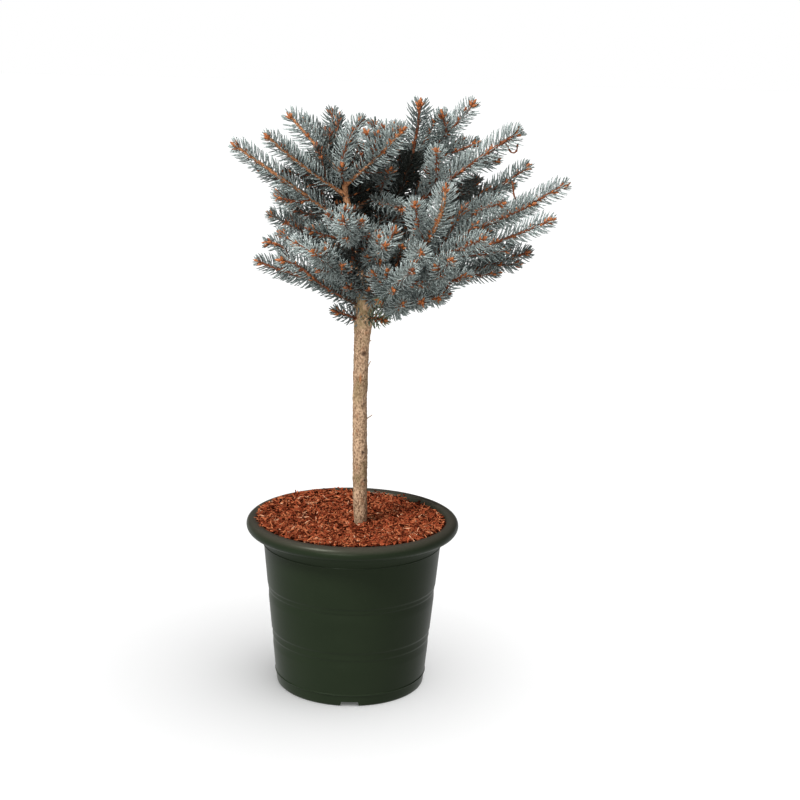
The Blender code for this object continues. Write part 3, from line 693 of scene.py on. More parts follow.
def plan_sides(line, centre, walls, limbs, rng):
    for start, middle, end in side_lines(line, rng):
        for trim in SHORTENED:
            turn = start.lerp(middle, trim)
            span = (start, turn, turn + (end - middle) * trim)
            points = walk(*span, SIDE_ROOT, 1.0, AXIS_POINTS)
            clear = all((point - centre).dot(wall) > CORE + MARGIN for wall in walls for point in points)
            if clear and all(
                segment_gap(p, q, a, b) > CORE + r + MARGIN
                for p, q in zip(points, points[1:]) for a, b, r in limbs
            ):
                yield span
                break


def crown():
    """Every mass: its leader's line, thickness and bare share, and the lines of its side shoots."""
    lines = leader_lines()
    limbs = []
    for low, high in zip(STEM, STEM[1:]):
        ends = [Vector((x, 0, z)) for z, x, _ in (low, high)]
        limbs.append((*ends, max(low[2], high[2])))
    for name, line, thick, share, _ in lines:
        if share:
            points = walk(*line, 0.0, share, BOUGH_POINTS)
            for i, (a, b) in enumerate(zip(points, points[1:])):
                limbs.append((a, b, thick * (1.0 + (BOUGH_END - 1.0) * i / (BOUGH_POINTS - 1))))
    rng = random.Random(SEED)
    centre, all_walls = cell_walls(lines)
    masses = []
    for line, walls in zip(lines, all_walls):
        seat = bend(*line[1], line[3])
        near = [limb for limb in limbs if (limb[1] - seat).length > SEAT]
        masses.append((*line, list(plan_sides(line, centre, walls, near, rng))))
    return masses


# ======== finer growth ========
def curve(line, first=0.0, last=1.0, step=TWIG_STEP):
    """Points along a bent line, evenly about a step apart."""
    a, b, c = (np.array(p, float) for p in line)
    q = np.linspace(first, last, 64)[:, None]
    rough = a * (1 - q) ** 2 + b * 2 * (1 - q) * q + c * q * q
    run = running(rough)
    return sample(np.linspace(0, run[-1], max(5, int(run[-1] / step) + 1)), run, rough)


def needle_faces(rings):
    """Triangles of one needle: its sides, between rings of three, and its point."""
    faces = []
    last = 3 * rings - 3
    for ring in range(0, last, 3):
        for k in range(3):
            a, b = ring + k, ring + (k + 1) % 3
            faces += [(a, b, b + 3), (a, b + 3, a + 3)]
    return np.array(faces + [(last + k, last + (k + 1) % 3, last + 3) for k in range(3)])


class Needles:
    """Needles of every tone, kept as rows of numbers until their meshes are made."""

    def __init__(self, seed):
        self.rng = np.random.RandomState(seed)
        self.tones = {}

    def grow(self, points, radius, tone, length=NEEDLE_LENGTH, density=1.0, ends=True, parted=0.0):
        """A spiral of needles along a shoot, swept forward and up, closing round the bud."""
        rng = self.rng
        run = running(points)
        total = run[-1]
        count = int(total * NEEDLES_A_METRE * density)
        share = (np.arange(count) + 0.5) / count
        if ends:
            share = np.concatenate([share, 1.0 - rng.rand(7) * 0.003 / total])
        count = len(share)
        at = share * total + rng.uniform(-0.0003, 0.0003, count)
        at = np.clip(at, 0, total)
        spot, *axes = (sample(at, run, part) for part in (points, *carried_frames(points)))
        t, u, v = (unit(axis) for axis in axes)
        angle = np.arange(count) * GOLDEN + rng.uniform(-0.14, 0.14, count)
        out = u * np.cos(angle)[:, None] + v * np.sin(angle)[:, None]
        keep = (out[:, 2] > -0.55) | (rng.rand(count) > 0.25)
        keep &= (out.dot(TOWARD_FRONT) < 0.66) | (rng.rand(count) > parted)
        closing = np.clip(1 - (total - at) / 0.015, 0, 1) if ends else np.zeros(count)
        lean = np.radians(78 - 8 * share - 24 * closing + rng.uniform(-6, 6, count))
        start = t * np.cos(lean)[:, None] + out * np.sin(lean)[:, None]
        end = unit(start * 0.74 + t * 0.70 + np.array((0, 0, 0.10)) + rng.uniform(-0.10, 0.10, (count, 3)))
        size = length * (0.80 + 0.20 * np.clip(at / 0.012, 0, 1)) * (1 - 0.46 * closing)
        size = size * (1 - 0.14 * np.clip(-out[:, 2], 0, 1))
        size = size * rng.uniform(0.92, 1.06, count)
        wide = NEEDLE_WIDTH * rng.uniform(0.90, 1.10, count)
        rows = np.concatenate([spot + out * radius * 0.7, start, end, size[:, None], wide[:, None]], 1)[keep]
        self.tones.setdefault(tone, []).append(rows)

    def build(self, finishes, replaced):
        """Three-sided needles, bent, in rings at their root, belly and shoulder, and a point."""
        for tone, parts in self.tones.items():
            rows = np.concatenate(parts)
            rings = SIMPLE_RINGS if tone in SIMPLE_TONES else NEEDLE_RINGS
            faces = needle_faces(len(rings))
            pieces = -(-len(rows) // (PIECE_LIMIT // len(faces)))
            for index, part in enumerate(np.array_split(rows, pieces)):
                spot, start, end, size, wide = np.split(part, (3, 6, 9, 10), axis=1)
                level = unit(np.cross(start, (0.02, 0.03, 1.0)))
                verts = []
                for q, w in rings:
                    middle = spot + size * (q * start + 0.5 * q * q * (end - start))
                    ahead = unit(start + q * (end - start))
                    flat = unit(level - ahead * (level * ahead).sum(1, keepdims=True))
                    top = np.cross(flat, ahead)
                    for angle in (pi / 2, pi * 7 / 6, pi * 11 / 6):
                        verts.append(middle + (flat * cos(angle) + top * sin(angle)) * wide * w * 0.56)
                verts.append(spot + size * (start + 0.5 * (end - start)))
                each = len(verts)
                verts = np.stack(verts, 1).reshape(-1, 3)
                tris = (np.arange(len(part))[:, None, None] * each + faces[None]).reshape(-1, 3)
                name = "needles_%s_%d" % (tone, index + 1)
                dress(mesh_object(name, verts, [tris], finishes["needle_" + tone]), replaced)


def bud(heap, at, ahead, length, width):
    """A pointed egg of overlapping scales."""
    ahead = ahead / np.linalg.norm(ahead)
    side = np.cross(ahead, (0.3, 0.2, 1.0))
    side /= np.linalg.norm(side)
    up = np.cross(side, ahead)
    verts = [at + ahead * length * along + ring_of(side, up, turns(BUD_SIDES) + row * 0.35) * width * 0.5 * wide
             for row, (along, wide) in enumerate(BUD_PROFILE)]
    last = (len(BUD_PROFILE) - 1) * BUD_SIDES
    heap.add(np.vstack([*verts, at + ahead * length]), fan(last, BUD_SIDES, last + BUD_SIDES),
             grid_quads(len(BUD_PROFILE), BUD_SIDES))


def shoot_buds(heaps, points, rng, whorl=5):
    """The end bud with its whorl, and a few more along the shoot."""
    ahead, side, up = carried_frames(points)
    t, u, v = ahead[-1], side[-1], up[-1]
    # share of brown buds: on small inner shoots it is high, partly painted shade that keeps amber buds from showing
    # bright inside the crown
    brown_and_shade_share = 0.12 if whorl > 2 else 0.7
    bud(heaps[rng.rand() < brown_and_shade_share], points[-1] - t * 0.001, t, rng.uniform(0.0086, 0.0102), rng.uniform(0.0050, 0.0060))
    phase = rng.uniform(0, 2 * pi)
    for k in range(whorl):
        angle = phase + 2 * pi * k / whorl + rng.uniform(-0.3, 0.3)
        out = u * cos(angle) + v * sin(angle)
        heading = t * 0.80 + out * rng.uniform(0.5, 0.9)
        at = points[-1] - t * rng.uniform(0.0010, 0.0065) + out * 0.0015
        bud(heaps[rng.rand() < brown_and_shade_share], at, heading, rng.uniform(0.0072, 0.0090), rng.uniform(0.0043, 0.0052))
    for _ in range(int(spans(points).sum() / 0.014)):
        k = rng.randint(len(points) // 4, len(points) - 3)
        turn = rng.uniform(0, 2 * pi)
        for angle in (turn, turn + 0.9)[:1 + (rng.rand() < 0.4)]:
            out = side[k] * cos(angle) + up[k] * sin(angle)
            heading = ahead[k] * 0.75 + out * 0.75 + np.array((0, 0, 0.15))
            bud(heaps[rng.rand() < 0.25 + brown_and_shade_share / 2], points[k] + out * 0.0016, heading,
                rng.uniform(0.0056, 0.0074), rng.uniform(0.0034, 0.0042))


def follow(side, old, new):
    """A side shoot carried from a leader's old line to its new one."""
    share = min((k / 60 for k in range(61)), key=lambda q: (bend(*old, q) - side[0]).length)
    shift = bend(*new, share) - bend(*old, share)
    return [point + shift for point in side]


def small_shoot(start, ahead, around, lean, length):
    """A line leaving a limb at an angle, bending up."""
    level, up = cross_axes(ahead)
    across = level * cos(around) + up * sin(around)
    heading = ahead * cos(lean) + across * sin(lean)
    middle = start + heading * length * 0.5
    end = middle + (heading * 0.9 + ahead * 0.3 + Vector((0, 0, 0.15))).normalized() * length * 0.5
    return start, middle, end


class Growth:
    """All that grows on the stem and the boughs, gathered as it is drawn."""

    def __init__(self):
        self.twigs = {"": Heap(), "_pale": Heap(), "_painted_shade": Heap()}
        self.bark, self.bark_pale, self.buds = Heap(), Heap(), (Heap(), Heap())
        self.needles = Needles(5)
        self.rng = np.random.RandomState(21)

    def shoot(self, line, radii, tone, length, density=1.0, first=0.0, whorl=5, bare=0.0, shaded=0.0, kind="",
              parted=0.0):
        """A twig along a line, with its needles and buds."""
        points = curve(line, first, 1.0)
        points = points[:max(5, int(len(points) * (1 - TIP_TRIM / spans(points).sum())))]
        share = np.linspace(0, 1, len(points))
        radii = radii[1] + (radii[0] - radii[1]) * (1 - share) ** 1.6
        middling = float(radii.mean())
        knobs = 1 + self.rng.uniform(-0.16, 0.20, (len(points), TWIG_SIDES))
        dark = int(len(points) * shaded)
        # painted shade: the twigs of old-toned shoots get the dark bark
        tube(self.twigs["_painted_shade" if tone == "old" else kind], points[dark:], radii[dark:], TWIG_SIDES, knobs[dark:])
        # painted shade: in the dark hollow a leader gets dark bark and very dark old needles
        if shaded:
            end = dark + 1
            tube(self.twigs["_painted_shade"], points[:end], radii[:end], TWIG_SIDES, knobs[:end])
            self.needles.grow(points[:end], middling, "old", length, density * 1.4, ends=False)
            bare = shaded
        self.needles.grow(points[int(len(points) * bare):], middling, tone, length, density, parted=parted)
        shoot_buds(self.buds, points, self.rng, whorl)

    def bough(self, name, line, thick, share, tone, front):
        """The bare part of a bough, with needles and small shoots of its own."""
        rng = self.rng
        wood = curve(line, 0.0, share, BOUGH_STEP)
        along = np.linspace(0, 1, len(wood))
        radii = thick * (1.0 + (BOUGH_END - 1.0) * along)
        radii = radii * (1 + 0.55 * np.exp(-along * 9))
        scales = 1 + rng.uniform(-0.10, 0.10, (len(wood), BOUGH_SIDES))
        swell = 1 + 0.10 * np.array([noise.noise(Vector(p) * 160) for p in wood])
        tube(self.bark_pale if name in PALE_TWIGS else self.bark, wood, radii * swell, BOUGH_SIDES, scales)
        # painted shade: behind the front, the needles on a bough's bare part take the very dark old tone
        self.needles.grow(wood[int(len(wood) * 0.22):], float(radii[-1]), tone if front else "old",
                          BOUGH_NEEDLES, 0.90, ends=False)
        for k in range(INNER_SHOOTS):
            where = share * (0.36 + 0.11 * k)
            start = bend(*line, where)
            ahead = (bend(*line, where + 0.02) - start).normalized()
            around = rng.uniform(0, 2 * pi) if k == 0 else around + GOLDEN
            reach, lean = rng.uniform(0.034, 0.056), radians(rng.uniform(40, 55))
            for turn_by in (0.0, pi, pi / 2, -pi / 2):
                span = small_shoot(start, ahead, around + turn_by, lean, reach)
                forward = front and span[2].y < start.y + (line[2].y - start.y) * 0.3 - 0.010
                hanging = line[0].z < GROWN_LOW and span[2].z < start.z + 0.012
                if not forward and not hanging:
                    self.shoot(span, INNER_TWIG, "old" if name in SHADED else "deep", INNER_NEEDLES, 0.80, whorl=2)
                    break

    def mass(self, name, line, thick, share, sides):
        """A bough with its leader and side shoots; gives back the line it follows."""
        front = line[2].y < FRONT_DEPTH
        outer = "blue" if name in DUSKY else "silver"
        if name in REBENT:
            old, line = line, bough_line((*BOUGHS[name][:4], REBENT[name], 0))
            sides = [follow(side, old, line) for side in sides]
        if share:
            self.bough(name, line, thick, share, outer, front)
        stout = STOUT.get(name, 1.0)
        self.shoot(line, ((thick * BOUGH_END if share else thick) * stout, TWIG_TIP * stout), outer,
                   NEEDLE_LENGTH * LONG_NEEDLES.get(name, 1.0), 1.1, share, shaded=SHADED.get(name, 0.0),
                   kind="_pale" if name in PALE_TWIGS else "", parted=0.0 if name == "tip" else 0.5)
        for index, side in enumerate(sides):
            if front and side[2].y < line[2].y + SIDE_BEHIND or index in LEFT_OUT.get(name, ()):
                continue
            tone = outer if self.rng.rand() < 0.5 else "blue"
            self.shoot(side, (TWIG_ROOT * 0.85, TWIG_TIP * 0.85), tone, NEEDLE_LENGTH * 0.90, 0.9, whorl=3)
        return line

    def sprays(self, lines):
        """The shoots placed one by one."""
        for carrier, where, tone, *values in SPRAYS:
            root = on_stem(where) if carrier == "stem" else bend(*lines[carrier], where)
            self.shoot((root, tenths(values[:3]), tenths(values[3:])), (TWIG_ROOT * 0.9, TWIG_TIP * 0.9), tone,
                       NEEDLE_LENGTH * (1.08 if tone == "silver" else 0.92), bare=0.12, parted=0.4)

    def hub(self):
        """Short shoots on the back of the stem, which close the middle of the crown; their very dark needles and bark
        are painted shade.
        """
        for k in range(HUB_SHOOTS):
            start = on_stem(HUB_LOW + (HUB_HIGH - HUB_LOW) * (k + 0.5) / HUB_SHOOTS)
            around, reach = k * GOLDEN, self.rng.uniform(0.045, 0.065)
            ahead = Vector((cos(around), abs(sin(around)) * 0.9, self.rng.uniform(0.1, 0.9))).normalized()
            line = (start, start + ahead * reach * 0.5, start + ahead * reach)
            self.shoot(line, INNER_TWIG, "old", HUB_NEEDLES, 0.70, whorl=0)

    def stalks(self):
        """Bare dry stalks, rounded at their bends."""
        for stalk in STALKS:
            points = np.array(stalk) / 10000
            points = sample(np.linspace(0, len(points) - 1, 24), np.arange(len(points)), points)
            points[1:-1] = (points[:-2] + points[1:-1] + points[2:]) / 3
            tube(self.twigs[""], points, self.rng.uniform(0.0008, 0.0016, len(points)), TWIG_SIDES)


# ======== pieces of the plant ========
def build_crown(finishes):
    """Everything above the trunk, in pieces by finish."""
    growth = Growth()
    lines = {name: growth.mass(name, line, thick, share, sides) for name, line, thick, share, _, sides in crown()}
    growth.sprays(lines)
    growth.hub()
    masses = ["foliage_" + name for name in (*BOUGHS, "tip")]
    boughs = ["bough_" + name for name in BOUGHS]
    growth.needles.build(finishes, masses)
    growth.stalks()
    for kind, heap in growth.twigs.items():
        heap.build("twigs" + kind, finishes["twig_bark" + kind], "twig_bark", masses)
    for heap, tone in zip(growth.buds, ("amber", "brown")):
        heap.build("buds_" + tone, finishes["bud_scales_" + tone], "twig_bark")
    growth.bark.build("bough_bark", finishes["bough_bark"], "twig_bark", boughs)
    growth.bark_pale.build("bough_bark_pale", finishes["twig_bark_pale"], "twig_bark", boughs)


def build_trunk(finish):
    """The stem with its scaly bark, the graft's swelling, knots and a few dead stubs."""
    low, high = STEM[0][0], STEM[-1][0]
    heights = np.linspace(low, high, int((high - low) / TRUNK_STEP))
    table = np.array(STEM)
    kernel = np.hanning(SMOOTHED_OVER)
    kernel /= kernel.sum()

    def smooth(column):
        rough = np.interp(heights, table[:, 0], table[:, column])
        return np.convolve(np.pad(rough, SMOOTHED_OVER // 2, "edge"), kernel, "valid")

    smooth_x, smooth_r = smooth(1), smooth(2)
    verts = np.zeros((len(heights), TRUNK_SIDES, 3))
    for i, (z, x, r) in enumerate(zip(heights, smooth_x, smooth_r)):
        for j, angle in enumerate(turns(TRUNK_SIDES)):
            c, s = cos(angle), sin(angle)
            spot = Vector((x + r * c, r * s, z))
            cells = noise.voronoi(Vector((spot.x, spot.y, spot.z * 0.72)) * 300)[0]
            crack = min(1.0, (cells[1] - cells[0]) * 3.2)
            rough = 0.00060 * (crack - 0.75) + 0.00030 * noise.noise(spot * 900) + 0.0006 * noise.noise(spot * 75)
            for height, heading, size in KNOTS:
                away = hypot((z - height) / 0.0042, ((angle - radians(heading) + pi) % (2 * pi) - pi) / 0.42)
                if away < 2.2:
                    rough += 0.0011 * size * (np.exp(-away * away * 1.6) - 0.55 * np.exp(-away * away * 9))
            rough *= min(1.0, r / 0.0075)
            verts[i, j] = (x + (r + rough) * c, (r + rough) * s, z)
    heap = Heap()
    ends = [(smooth_x[-1], 0.0, high + 0.0012), (smooth_x[0], 0.0, low)]
    count = len(heights) * TRUNK_SIDES
    caps = [fan(count - TRUNK_SIDES, TRUNK_SIDES, count), fan(0, TRUNK_SIDES, count + 1, flipped=True)]
    heap.add(np.vstack([verts.reshape(-1, 3), *ends]), np.concatenate(caps), grid_quads(len(heights), TRUNK_SIDES))
    rng = np.random.RandomState(8)
    for height, heading, length, radius, rise in TWIGLETS:
        x, r = station(height)
        out = np.array((cos(radians(heading)), sin(radians(heading)), rise))
        foot = np.array((x, 0.0, height)) + np.array((out[0], out[1], 0.0)) * (r - 0.001)
        points = foot + np.linspace(0, 1, 7)[:, None] * length * out + rng.uniform(-1, 1, (7, 3)) * 0.00025
        tube(heap, points, np.linspace(radius * 1.5, radius, 7), TWIG_SIDES)
    heap.build("trunk_bark", finish, "bark", ["trunk"])


# ======== pot and mulch ========
def near(radius, height, *steps):
    """Points of the profile round one place, by steps out and up in tenths of a millimetre."""
    return [(radius + out / 10000, height + up / 10000) for out, up in steps]


def pot_profile():
    """Radius and height, from the middle of the inside, up over the rim and down to the middle underneath."""
    roll = POT_RIM_RADIUS - POT_ROLL

    def body_radius(z):
        share = (z - POT_FOOT_HEIGHT) / (POT_TOP_HEIGHT - POT_FOOT_HEIGHT)
        radius = POT_FOOT_RADIUS + (POT_TOP_RADIUS - POT_FOOT_RADIUS) * share
        for height in GROOVES:
            into = min(max((height - z) / GROOVE_STEP + 0.5, 0), 1)
            back = min(max((height - z) / GROOVE_STEP / 4 - 0.15, 0), 1)
            radius -= GROOVE_DEPTH * into * into * (3 - 2 * into) * (1 - back * back * (3 - 2 * back))
        return radius

    inner = [
        (0.0, POT_WALL),
        (GROOVE_IN - 0.0040, POT_WALL),
        (GROOVE_IN - 0.0020, GROOVE_HEIGHT + POT_WALL),
        (POT_FOOT_RADIUS - POT_WALL - POT_FOOT_SETBACK, GROOVE_HEIGHT + POT_WALL),
        (POT_FOOT_RADIUS - POT_WALL, POT_FOOT_HEIGHT),
        (POT_TOP_RADIUS - POT_WALL, POT_TOP_HEIGHT),
        *near(POT_COLLAR_RADIUS - POT_WALL, POT_RIM_MID, (0, -20), (6, 15)),
        *near(roll, POT_RIM_MID, (-88, 40), (-76, 68)),
        *near(roll, POT_RIM_MID + POT_ROLL, (-62, -17), (-46, -7), (-26, -2)),
    ]
    arc = [(roll + POT_ROLL * sin(radians(a)), POT_RIM_MID + POT_ROLL * cos(radians(a))) for a in range(0, 196, 7)]
    collar = [
        *near(roll, POT_RIM_MID - POT_ROLL, (-45, 8)),
        *near(POT_COLLAR_RADIUS, POT_RIM_MID - POT_ROLL, (12, 2), (2, -14), (-10, -55)),
        *near(POT_TOP_RADIUS, POT_TOP_HEIGHT, (14, 6)),
        *near(POT_TOP_RADIUS, 0.0, (9, 2090), (13, 2084), (13, 2076), (6, 2069)),
        (body_radius(0.2062) + 0.0001, 0.2062),
    ]
    body = [(body_radius(z), z) for z in np.concatenate([
        np.linspace(0.2050, 0.1490, 8), np.arange(0.1480, 0.1220, -0.0008), np.linspace(0.1200, 0.0830, 6),
        np.arange(0.0820, 0.0520, -0.0008), np.linspace(0.0500, POT_FOOT_HEIGHT + 0.0008, 6)])]
    foot = [
        *near(POT_FOOT_RADIUS, POT_FOOT_HEIGHT, (6, 0), (8, -5), (6, -11), (-3, -17)),
        (POT_FLOOR_RADIUS + 0.0008, 0.0062),
        (POT_FLOOR_RADIUS + 0.0002, POT_EDGE_ROUND),
        (POT_FLOOR_RADIUS - 0.0004, POT_EDGE_ROUND * 0.3),
        (POT_FLOOR_RADIUS - POT_EDGE_ROUND, 0.0),
        (GROOVE_OUT + 0.0008, 0.0),
        (GROOVE_OUT, 0.0008),
        (GROOVE_OUT, GROOVE_HEIGHT),
        (GROOVE_IN, GROOVE_HEIGHT),
        (GROOVE_IN - 0.0015, 0.0),
        (0.0, 0.0),
    ]
    return inner + arc + collar + body + foot


def face_outward(mesh):
    work = bmesh.new()
    work.from_mesh(mesh)
    bmesh.ops.recalc_face_normals(work, faces=work.faces)
    work.to_mesh(mesh)
    work.free()


def lathe(name, profile, segments, finish):
    profile = np.array(profile)
    angles = turns(segments)
    inner = profile[1:-1]
    verts = np.stack([inner[:, None, 0] * np.cos(angles), inner[:, None, 0] * np.sin(angles),
                      np.repeat(inner[:, 1:2], segments, 1)], -1).reshape(-1, 3)
    count = len(verts)
    caps = [fan(0, segments, count), fan(count - segments, segments, count + 1, flipped=True)]
    verts = np.vstack([verts, (0, 0, profile[0, 1]), (0, 0, profile[-1, 1])])
    quads = grid_quads(len(inner), segments)[:, ::-1]
    made = mesh_object(name, verts, [np.concatenate(caps), quads], finish, body=None)
    face_outward(made.data)
    return made


def carve(target, verts, faces):
    """Cuts a closed shape out of a piece."""
    mesh = bpy.data.meshes.new("carver")
    mesh.from_pydata([tuple(v) for v in verts], [], faces)
    face_outward(mesh)
    cutter = placed("carver", mesh)
    modifier = target.modifiers.new("Carve", "BOOLEAN")
    modifier.operation, modifier.solver, modifier.object = "DIFFERENCE", "EXACT", cutter
    bpy.context.view_layer.update()
    graph = bpy.context.evaluated_depsgraph_get()
    carved = bpy.data.meshes.new_from_object(target.evaluated_get(graph), depsgraph=graph)
    target.modifiers.clear()
    target.data = carved
    bpy.data.objects.remove(cutter, do_unlink=True)


def build_pot(finish):
    """The lathed pot, with its notches and drain holes cut out."""
    pot = lathe("moulded_pot", pot_profile(), POT_SEGMENTS, finish)
    middle = (GROOVE_IN + GROOVE_OUT) / 2
    box_faces = [(0, 1, 3, 2), (4, 6, 7, 5), (0, 4, 5, 1), (2, 3, 7, 6), (0, 2, 6, 4), (1, 5, 7, 3)]
    for index in range(NOTCH_COUNT):
        turn = Matrix.Rotation(2 * pi * index / NOTCH_COUNT - pi / 2, 3, "Z")
        carve(pot, [
            turn @ Vector((x, side * width, z))
            for x in (middle, POT_FOOT_RADIUS + CUT_THROUGH)
            for z, width in ((-CUT_THROUGH, NOTCH_WIDTH), (NOTCH_HEIGHT, NOTCH_WIDTH - NOTCH_DRAFT))
            for side in (-0.5, 0.5)], box_faces)
    sides = range(DRAIN_SIDES)
    nexts = [(k + 1) % DRAIN_SIDES for k in sides]
    faces = [tuple(reversed(sides)), tuple(k + DRAIN_SIDES for k in sides)]
    faces += [(k, n, DRAIN_SIDES + n, DRAIN_SIDES + k) for k, n in zip(sides, nexts)]
    for index in range(DRAIN_COUNT):
        angle = 2 * pi * (index + 0.5) / DRAIN_COUNT
        centre = Vector((middle * cos(angle), middle * sin(angle), 0))
        carve(pot, [
            centre + Vector((DRAIN_RADIUS * cos(turn), DRAIN_RADIUS * sin(turn), z))
            for z in (GROOVE_HEIGHT - 2 * POT_WALL, GROOVE_HEIGHT + 2 * POT_WALL)
            for turn in turns(DRAIN_SIDES)], faces)
    pot.data.shade_smooth()
    pot.data.set_sharp_from_angle(angle=SHARP_FROM)
    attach(pot, "root")
    dress(pot, ["pot"])


def mulch_height(x, y):
    surface = POT_COLLAR_RADIUS - POT_WALL
    share = min(max(0.0, hypot(x, y) - MULCH_LEVEL) / (surface - MULCH_LEVEL), 1.0)
    facing = max(0.0, cos(atan2(y, x) - MULCH_DIP_ANGLE))
    return MULCH_TOP + share ** 2 * (MULCH_EDGE_RISE - MULCH_DIP * facing ** 2)


def inner_wall(z):
    """Radius of the pot's inside, up over the roll's inner slope."""
    roll = POT_RIM_RADIUS - POT_ROLL
    heights = (POT_TOP_HEIGHT, POT_RIM_MID - 0.0020, POT_RIM_MID + 0.0040, POT_RIM_MID + 0.0068,
               POT_RIM_MID + POT_ROLL - 0.0017, POT_RIM_MID + POT_ROLL)
    radii = (POT_TOP_RADIUS - POT_WALL, POT_COLLAR_RADIUS - POT_WALL, roll - 0.0088, roll - 0.0076,
             roll - 0.0062, roll - 0.0026)
    return float(np.interp(z, heights, radii))


def build_bed(finish):
    """The rough dark bed under the chips, with a skirt down the inside of the pot; its dark colour is partly painted
    shade in the gaps between the chips.
    """
    verts = []
    for i in range(1, BED_RINGS + 1):
        for angle in turns(BED_SIDES):
            c, s = cos(angle), sin(angle)
            z = mulch_height(c * BED_RADIUS * i / BED_RINGS, s * BED_RADIUS * i / BED_RINGS)
            radius = (inner_wall(z) - 0.0005) * i / BED_RINGS
            x, y = radius * c, radius * s
            rough = 0.0016 * noise.noise(Vector((x, y, 0)) * 110) + 0.0012 * noise.noise(Vector((x, y, 3)) * 330)
            verts.append((x, y, z - BED_SINK + rough * (i < BED_RINGS)))
    skirt = [(x * wide / hypot(x, y), y * wide / hypot(x, y), z)
             for wide, z in BED_SKIRT for x, y, _ in verts[-BED_SIDES:]]
    centres = [(0.0, 0.0, MULCH_TOP - BED_SINK), (0.0, 0.0, BED_SKIRT[-1][1])]
    end = (BED_RINGS + 1) * BED_SIDES
    top = end + BED_SIDES
    caps = [fan(0, BED_SIDES, top)[:, ::-1], fan(end, BED_SIDES, top + 1, flipped=True)]
    heap = Heap()
    heap.add(verts + skirt + centres, np.concatenate(caps), grid_quads(BED_RINGS + 2, BED_SIDES)[:, ::-1])
    heap.build("mulch_bed", finish, "bark_mulch", ["mulch"])


def chip(rng, length, width, thick):
    """Vertices of one ragged, bowed sliver, turned as it fell."""
    yaw, tilt = rng.uniform(0, 2 * pi), rng.normal(0, 0.36)
    if rng.rand() < 0.15:
        tilt += rng.uniform(-0.7, 0.7)
    roll = rng.normal(0, 0.55)
    turn = Matrix.Rotation(yaw, 3, "Z") @ Matrix.Rotation(tilt, 3, "Y") @ Matrix.Rotation(roll, 3, "X")
    ragged = rng.uniform(-0.22, 0.22, 6)
    outline = np.array([
        (-0.5 + ragged[0] * 0.2, -0.28), (0.05, -0.5 + ragged[1]), (0.5, -0.20 + ragged[2]),
        (0.42, 0.30 + ragged[3]), (-0.10, 0.5 + ragged[4]), (-0.46, 0.22 + ragged[5])])
    bow = rng.uniform(-0.12, 0.12) * length
    layers = [np.column_stack([outline * (length, width) * taper, height * thick + bow * (outline[:, 0] * 2) ** 2])
              for height, taper in ((-0.5, 1.0), (0.5, 0.90))]
    return np.vstack(layers) @ np.array(turn).T


def strew_chips(finishes):
    """Thousands of loose chips of bark on the bed, heaped over the rim's inner slope at the back left."""
    rng = np.random.RandomState(3)
    heaps = {tone: Heap() for tone, _ in CHIP_TONES}
    quads = [(k, (k + 1) % 6, 6 + (k + 1) % 6, 6 + k) for k in range(6)]
    quads += [(6, 7, 8, 9), (6, 9, 10, 11), (3, 2, 1, 0), (5, 4, 3, 0)]
    for _ in range(CHIP_COUNT):
        radius, angle = CHIP_RADIUS * rng.rand() ** 0.5, rng.uniform(0, 2 * pi)
        x, y = radius * cos(angle), radius * sin(angle)
        _, short, long, slim, wide = CHIP_KINDS[rng.choice(3, p=[kind[0] for kind in CHIP_KINDS])]
        length, width = short + (long - short) * rng.rand() ** 1.5, rng.uniform(slim, wide)
        thick = rng.uniform(0.0006, 0.0013)
        facing = max(0.0, cos(angle - MULCH_DIP_ANGLE)) * radius / 0.13
        z = mulch_height(x, y) + rng.uniform(-0.0012, 0.0030 - 0.0022 * min(1.0, facing))
        heaped = cos(angle - HEAPED_AT) > 0.25
        reach = inner_wall(z) + (0.0040 if heaped else -0.0008)
        if hypot(x - STEM[0][1], y) < CHIP_CLEAR + length * 0.25 or radius > reach - length * 0.30:
            continue
        spots = chip(rng, length, width, thick) + (x, y, z)
        if np.hypot(spots[:, 0], spots[:, 1]).max() > reach + 0.0004 and not heaped:
            continue
        if heaped and radius > HEAPED_FROM:
            level = spots[:, 2].mean()
            spots[:, 2] = level + (spots[:, 2] - level) * 0.45
            short_of_top = max(0.0, POT_RIM_MID + POT_ROLL + 0.0002 - spots[:, 2].min())
            spots[:, 2] += short_of_top * min(1, (radius - HEAPED_FROM) / 0.006)
        pick, total = rng.rand(), 0.0
        for tone, part in CHIP_TONES:
            total += part
            if pick < total:
                break
        heaps[tone].add(spots, (), quads)
    for tone, heap in heaps.items():
        heap.build("chips_" + tone, finishes["chip_" + tone], "bark_mulch", smooth=False)


# ======== stage ========
def camera_ray(tree):
    return node(tree, "ShaderNodeLightPath").outputs["Is Camera Ray"]


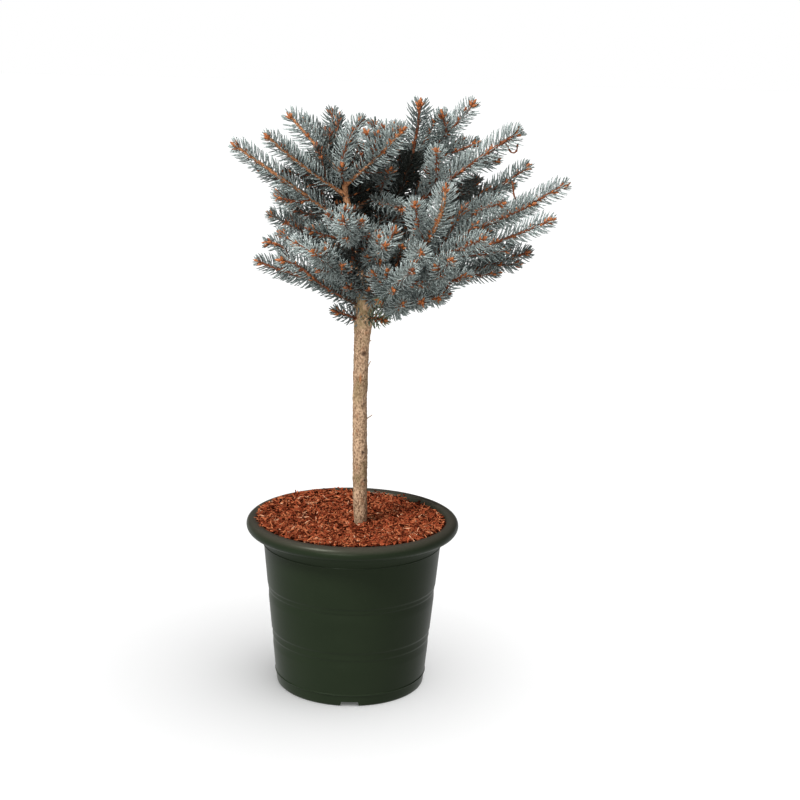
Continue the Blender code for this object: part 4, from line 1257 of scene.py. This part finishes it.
def build_stage():
    """The world, the floor and the lamps; the plant and the floor are lit apart."""
    scene = bpy.context.scene
    scene.view_settings.view_transform = "Standard"
    scene.view_settings.look = "None"
    scene.view_settings.gamma = VIEW_GAMMA
    scene.world = bpy.data.worlds.new("studio")
    scene.world.use_nodes = True
    tree = scene.world.node_tree
    background = tree.nodes["Background"]
    tree.links.new(blend_colours(tree, camera_ray(tree), (WORLD_LEVEL,) * 3, WHITE), background.inputs["Color"])
    background.inputs["Strength"].default_value = 1.0
    made, shader, tree = new_material("studio_floor", 0.9, 0.0)
    shader.inputs["Base Color"].default_value = (*(FLOOR_DIFFUSE,) * 3, 1.0)
    shader.inputs["Emission Color"].default_value = (*WHITE, 1.0)
    shader.inputs["Emission Strength"].default_value = FLOOR_SEEN
    bounced = node(tree, "ShaderNodeEmission", Strength=FLOOR_LIT)
    links = {"Fac": camera_ray(tree), 1: bounced.outputs[0], 2: shader.outputs[0]}
    either = node(tree, "ShaderNodeMixShader", links)
    tree.links.new(either.outputs[0], tree.nodes["Material Output"].inputs["Surface"])
    corners = np.array([(-1, -1, 0), (1, -1, 0), (1, 1, 0), (-1, 1, 0)]) * FLOOR_HALF
    floor = mesh_object("floor", corners, [np.array([[0, 1, 2, 3]])], made, body=None)
    floor.location.z = -FLOOR_DROP
    receivers = {}
    for kind, state in (("plant", "EXCLUDE"), ("floor", "INCLUDE")):
        receivers[kind] = bpy.data.collections.new("light_for_" + kind)
        receivers[kind].objects.link(floor)
        receivers[kind].collection_objects[0].light_linking.link_state = state
    for name, heading, rise, strength, spread, falls_on in LAMPS:
        lamp = bpy.data.lights.new(name, "SUN")
        lamp.energy, lamp.angle = strength, radians(spread)
        lamp_object = placed(name, lamp)
        lamp_object.light_linking.receiver_collection = receivers[falls_on]
        heading, rise = radians(heading), radians(rise)
        at = Vector((cos(heading) * cos(rise), sin(heading) * cos(rise), sin(rise)))
        lamp_object.location = at * LAMP_AWAY
        lamp_object.rotation_mode = "QUATERNION"
        lamp_object.rotation_quaternion = (-at).to_track_quat("-Z", "Y")


def build_camera():
    pitch, yaw, roll = CAMERA_PITCH, CAMERA_YAW, CAMERA_ROLL
    ahead = Vector((sin(yaw) * cos(pitch), cos(yaw) * cos(pitch), -sin(pitch)))
    level = Vector((cos(yaw), -sin(yaw), 0.0))
    up = level.cross(ahead)
    right = level * cos(roll) + up * sin(roll)
    up = up * cos(roll) - level * sin(roll)
    data = bpy.data.cameras.new("camera")
    data.lens, data.sensor_width = CAMERA_LENS, CAMERA_SENSOR
    camera = placed("camera", data)
    turn = Matrix((right, up, -ahead)).transposed().to_4x4()
    camera.matrix_world = Matrix.Translation(CAMERA_AT) @ turn
    bpy.context.scene.camera = camera


def main():
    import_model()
    build_stage()
    build_camera()
    finishes = {name: mottled(name, *values) for name, values in FINISHES.items()}
    build_pot(pot_material())
    build_bed(finishes["mulch_bed"])
    strew_chips(finishes)
    build_trunk(bark_material())
    build_crown(finishes)


main()
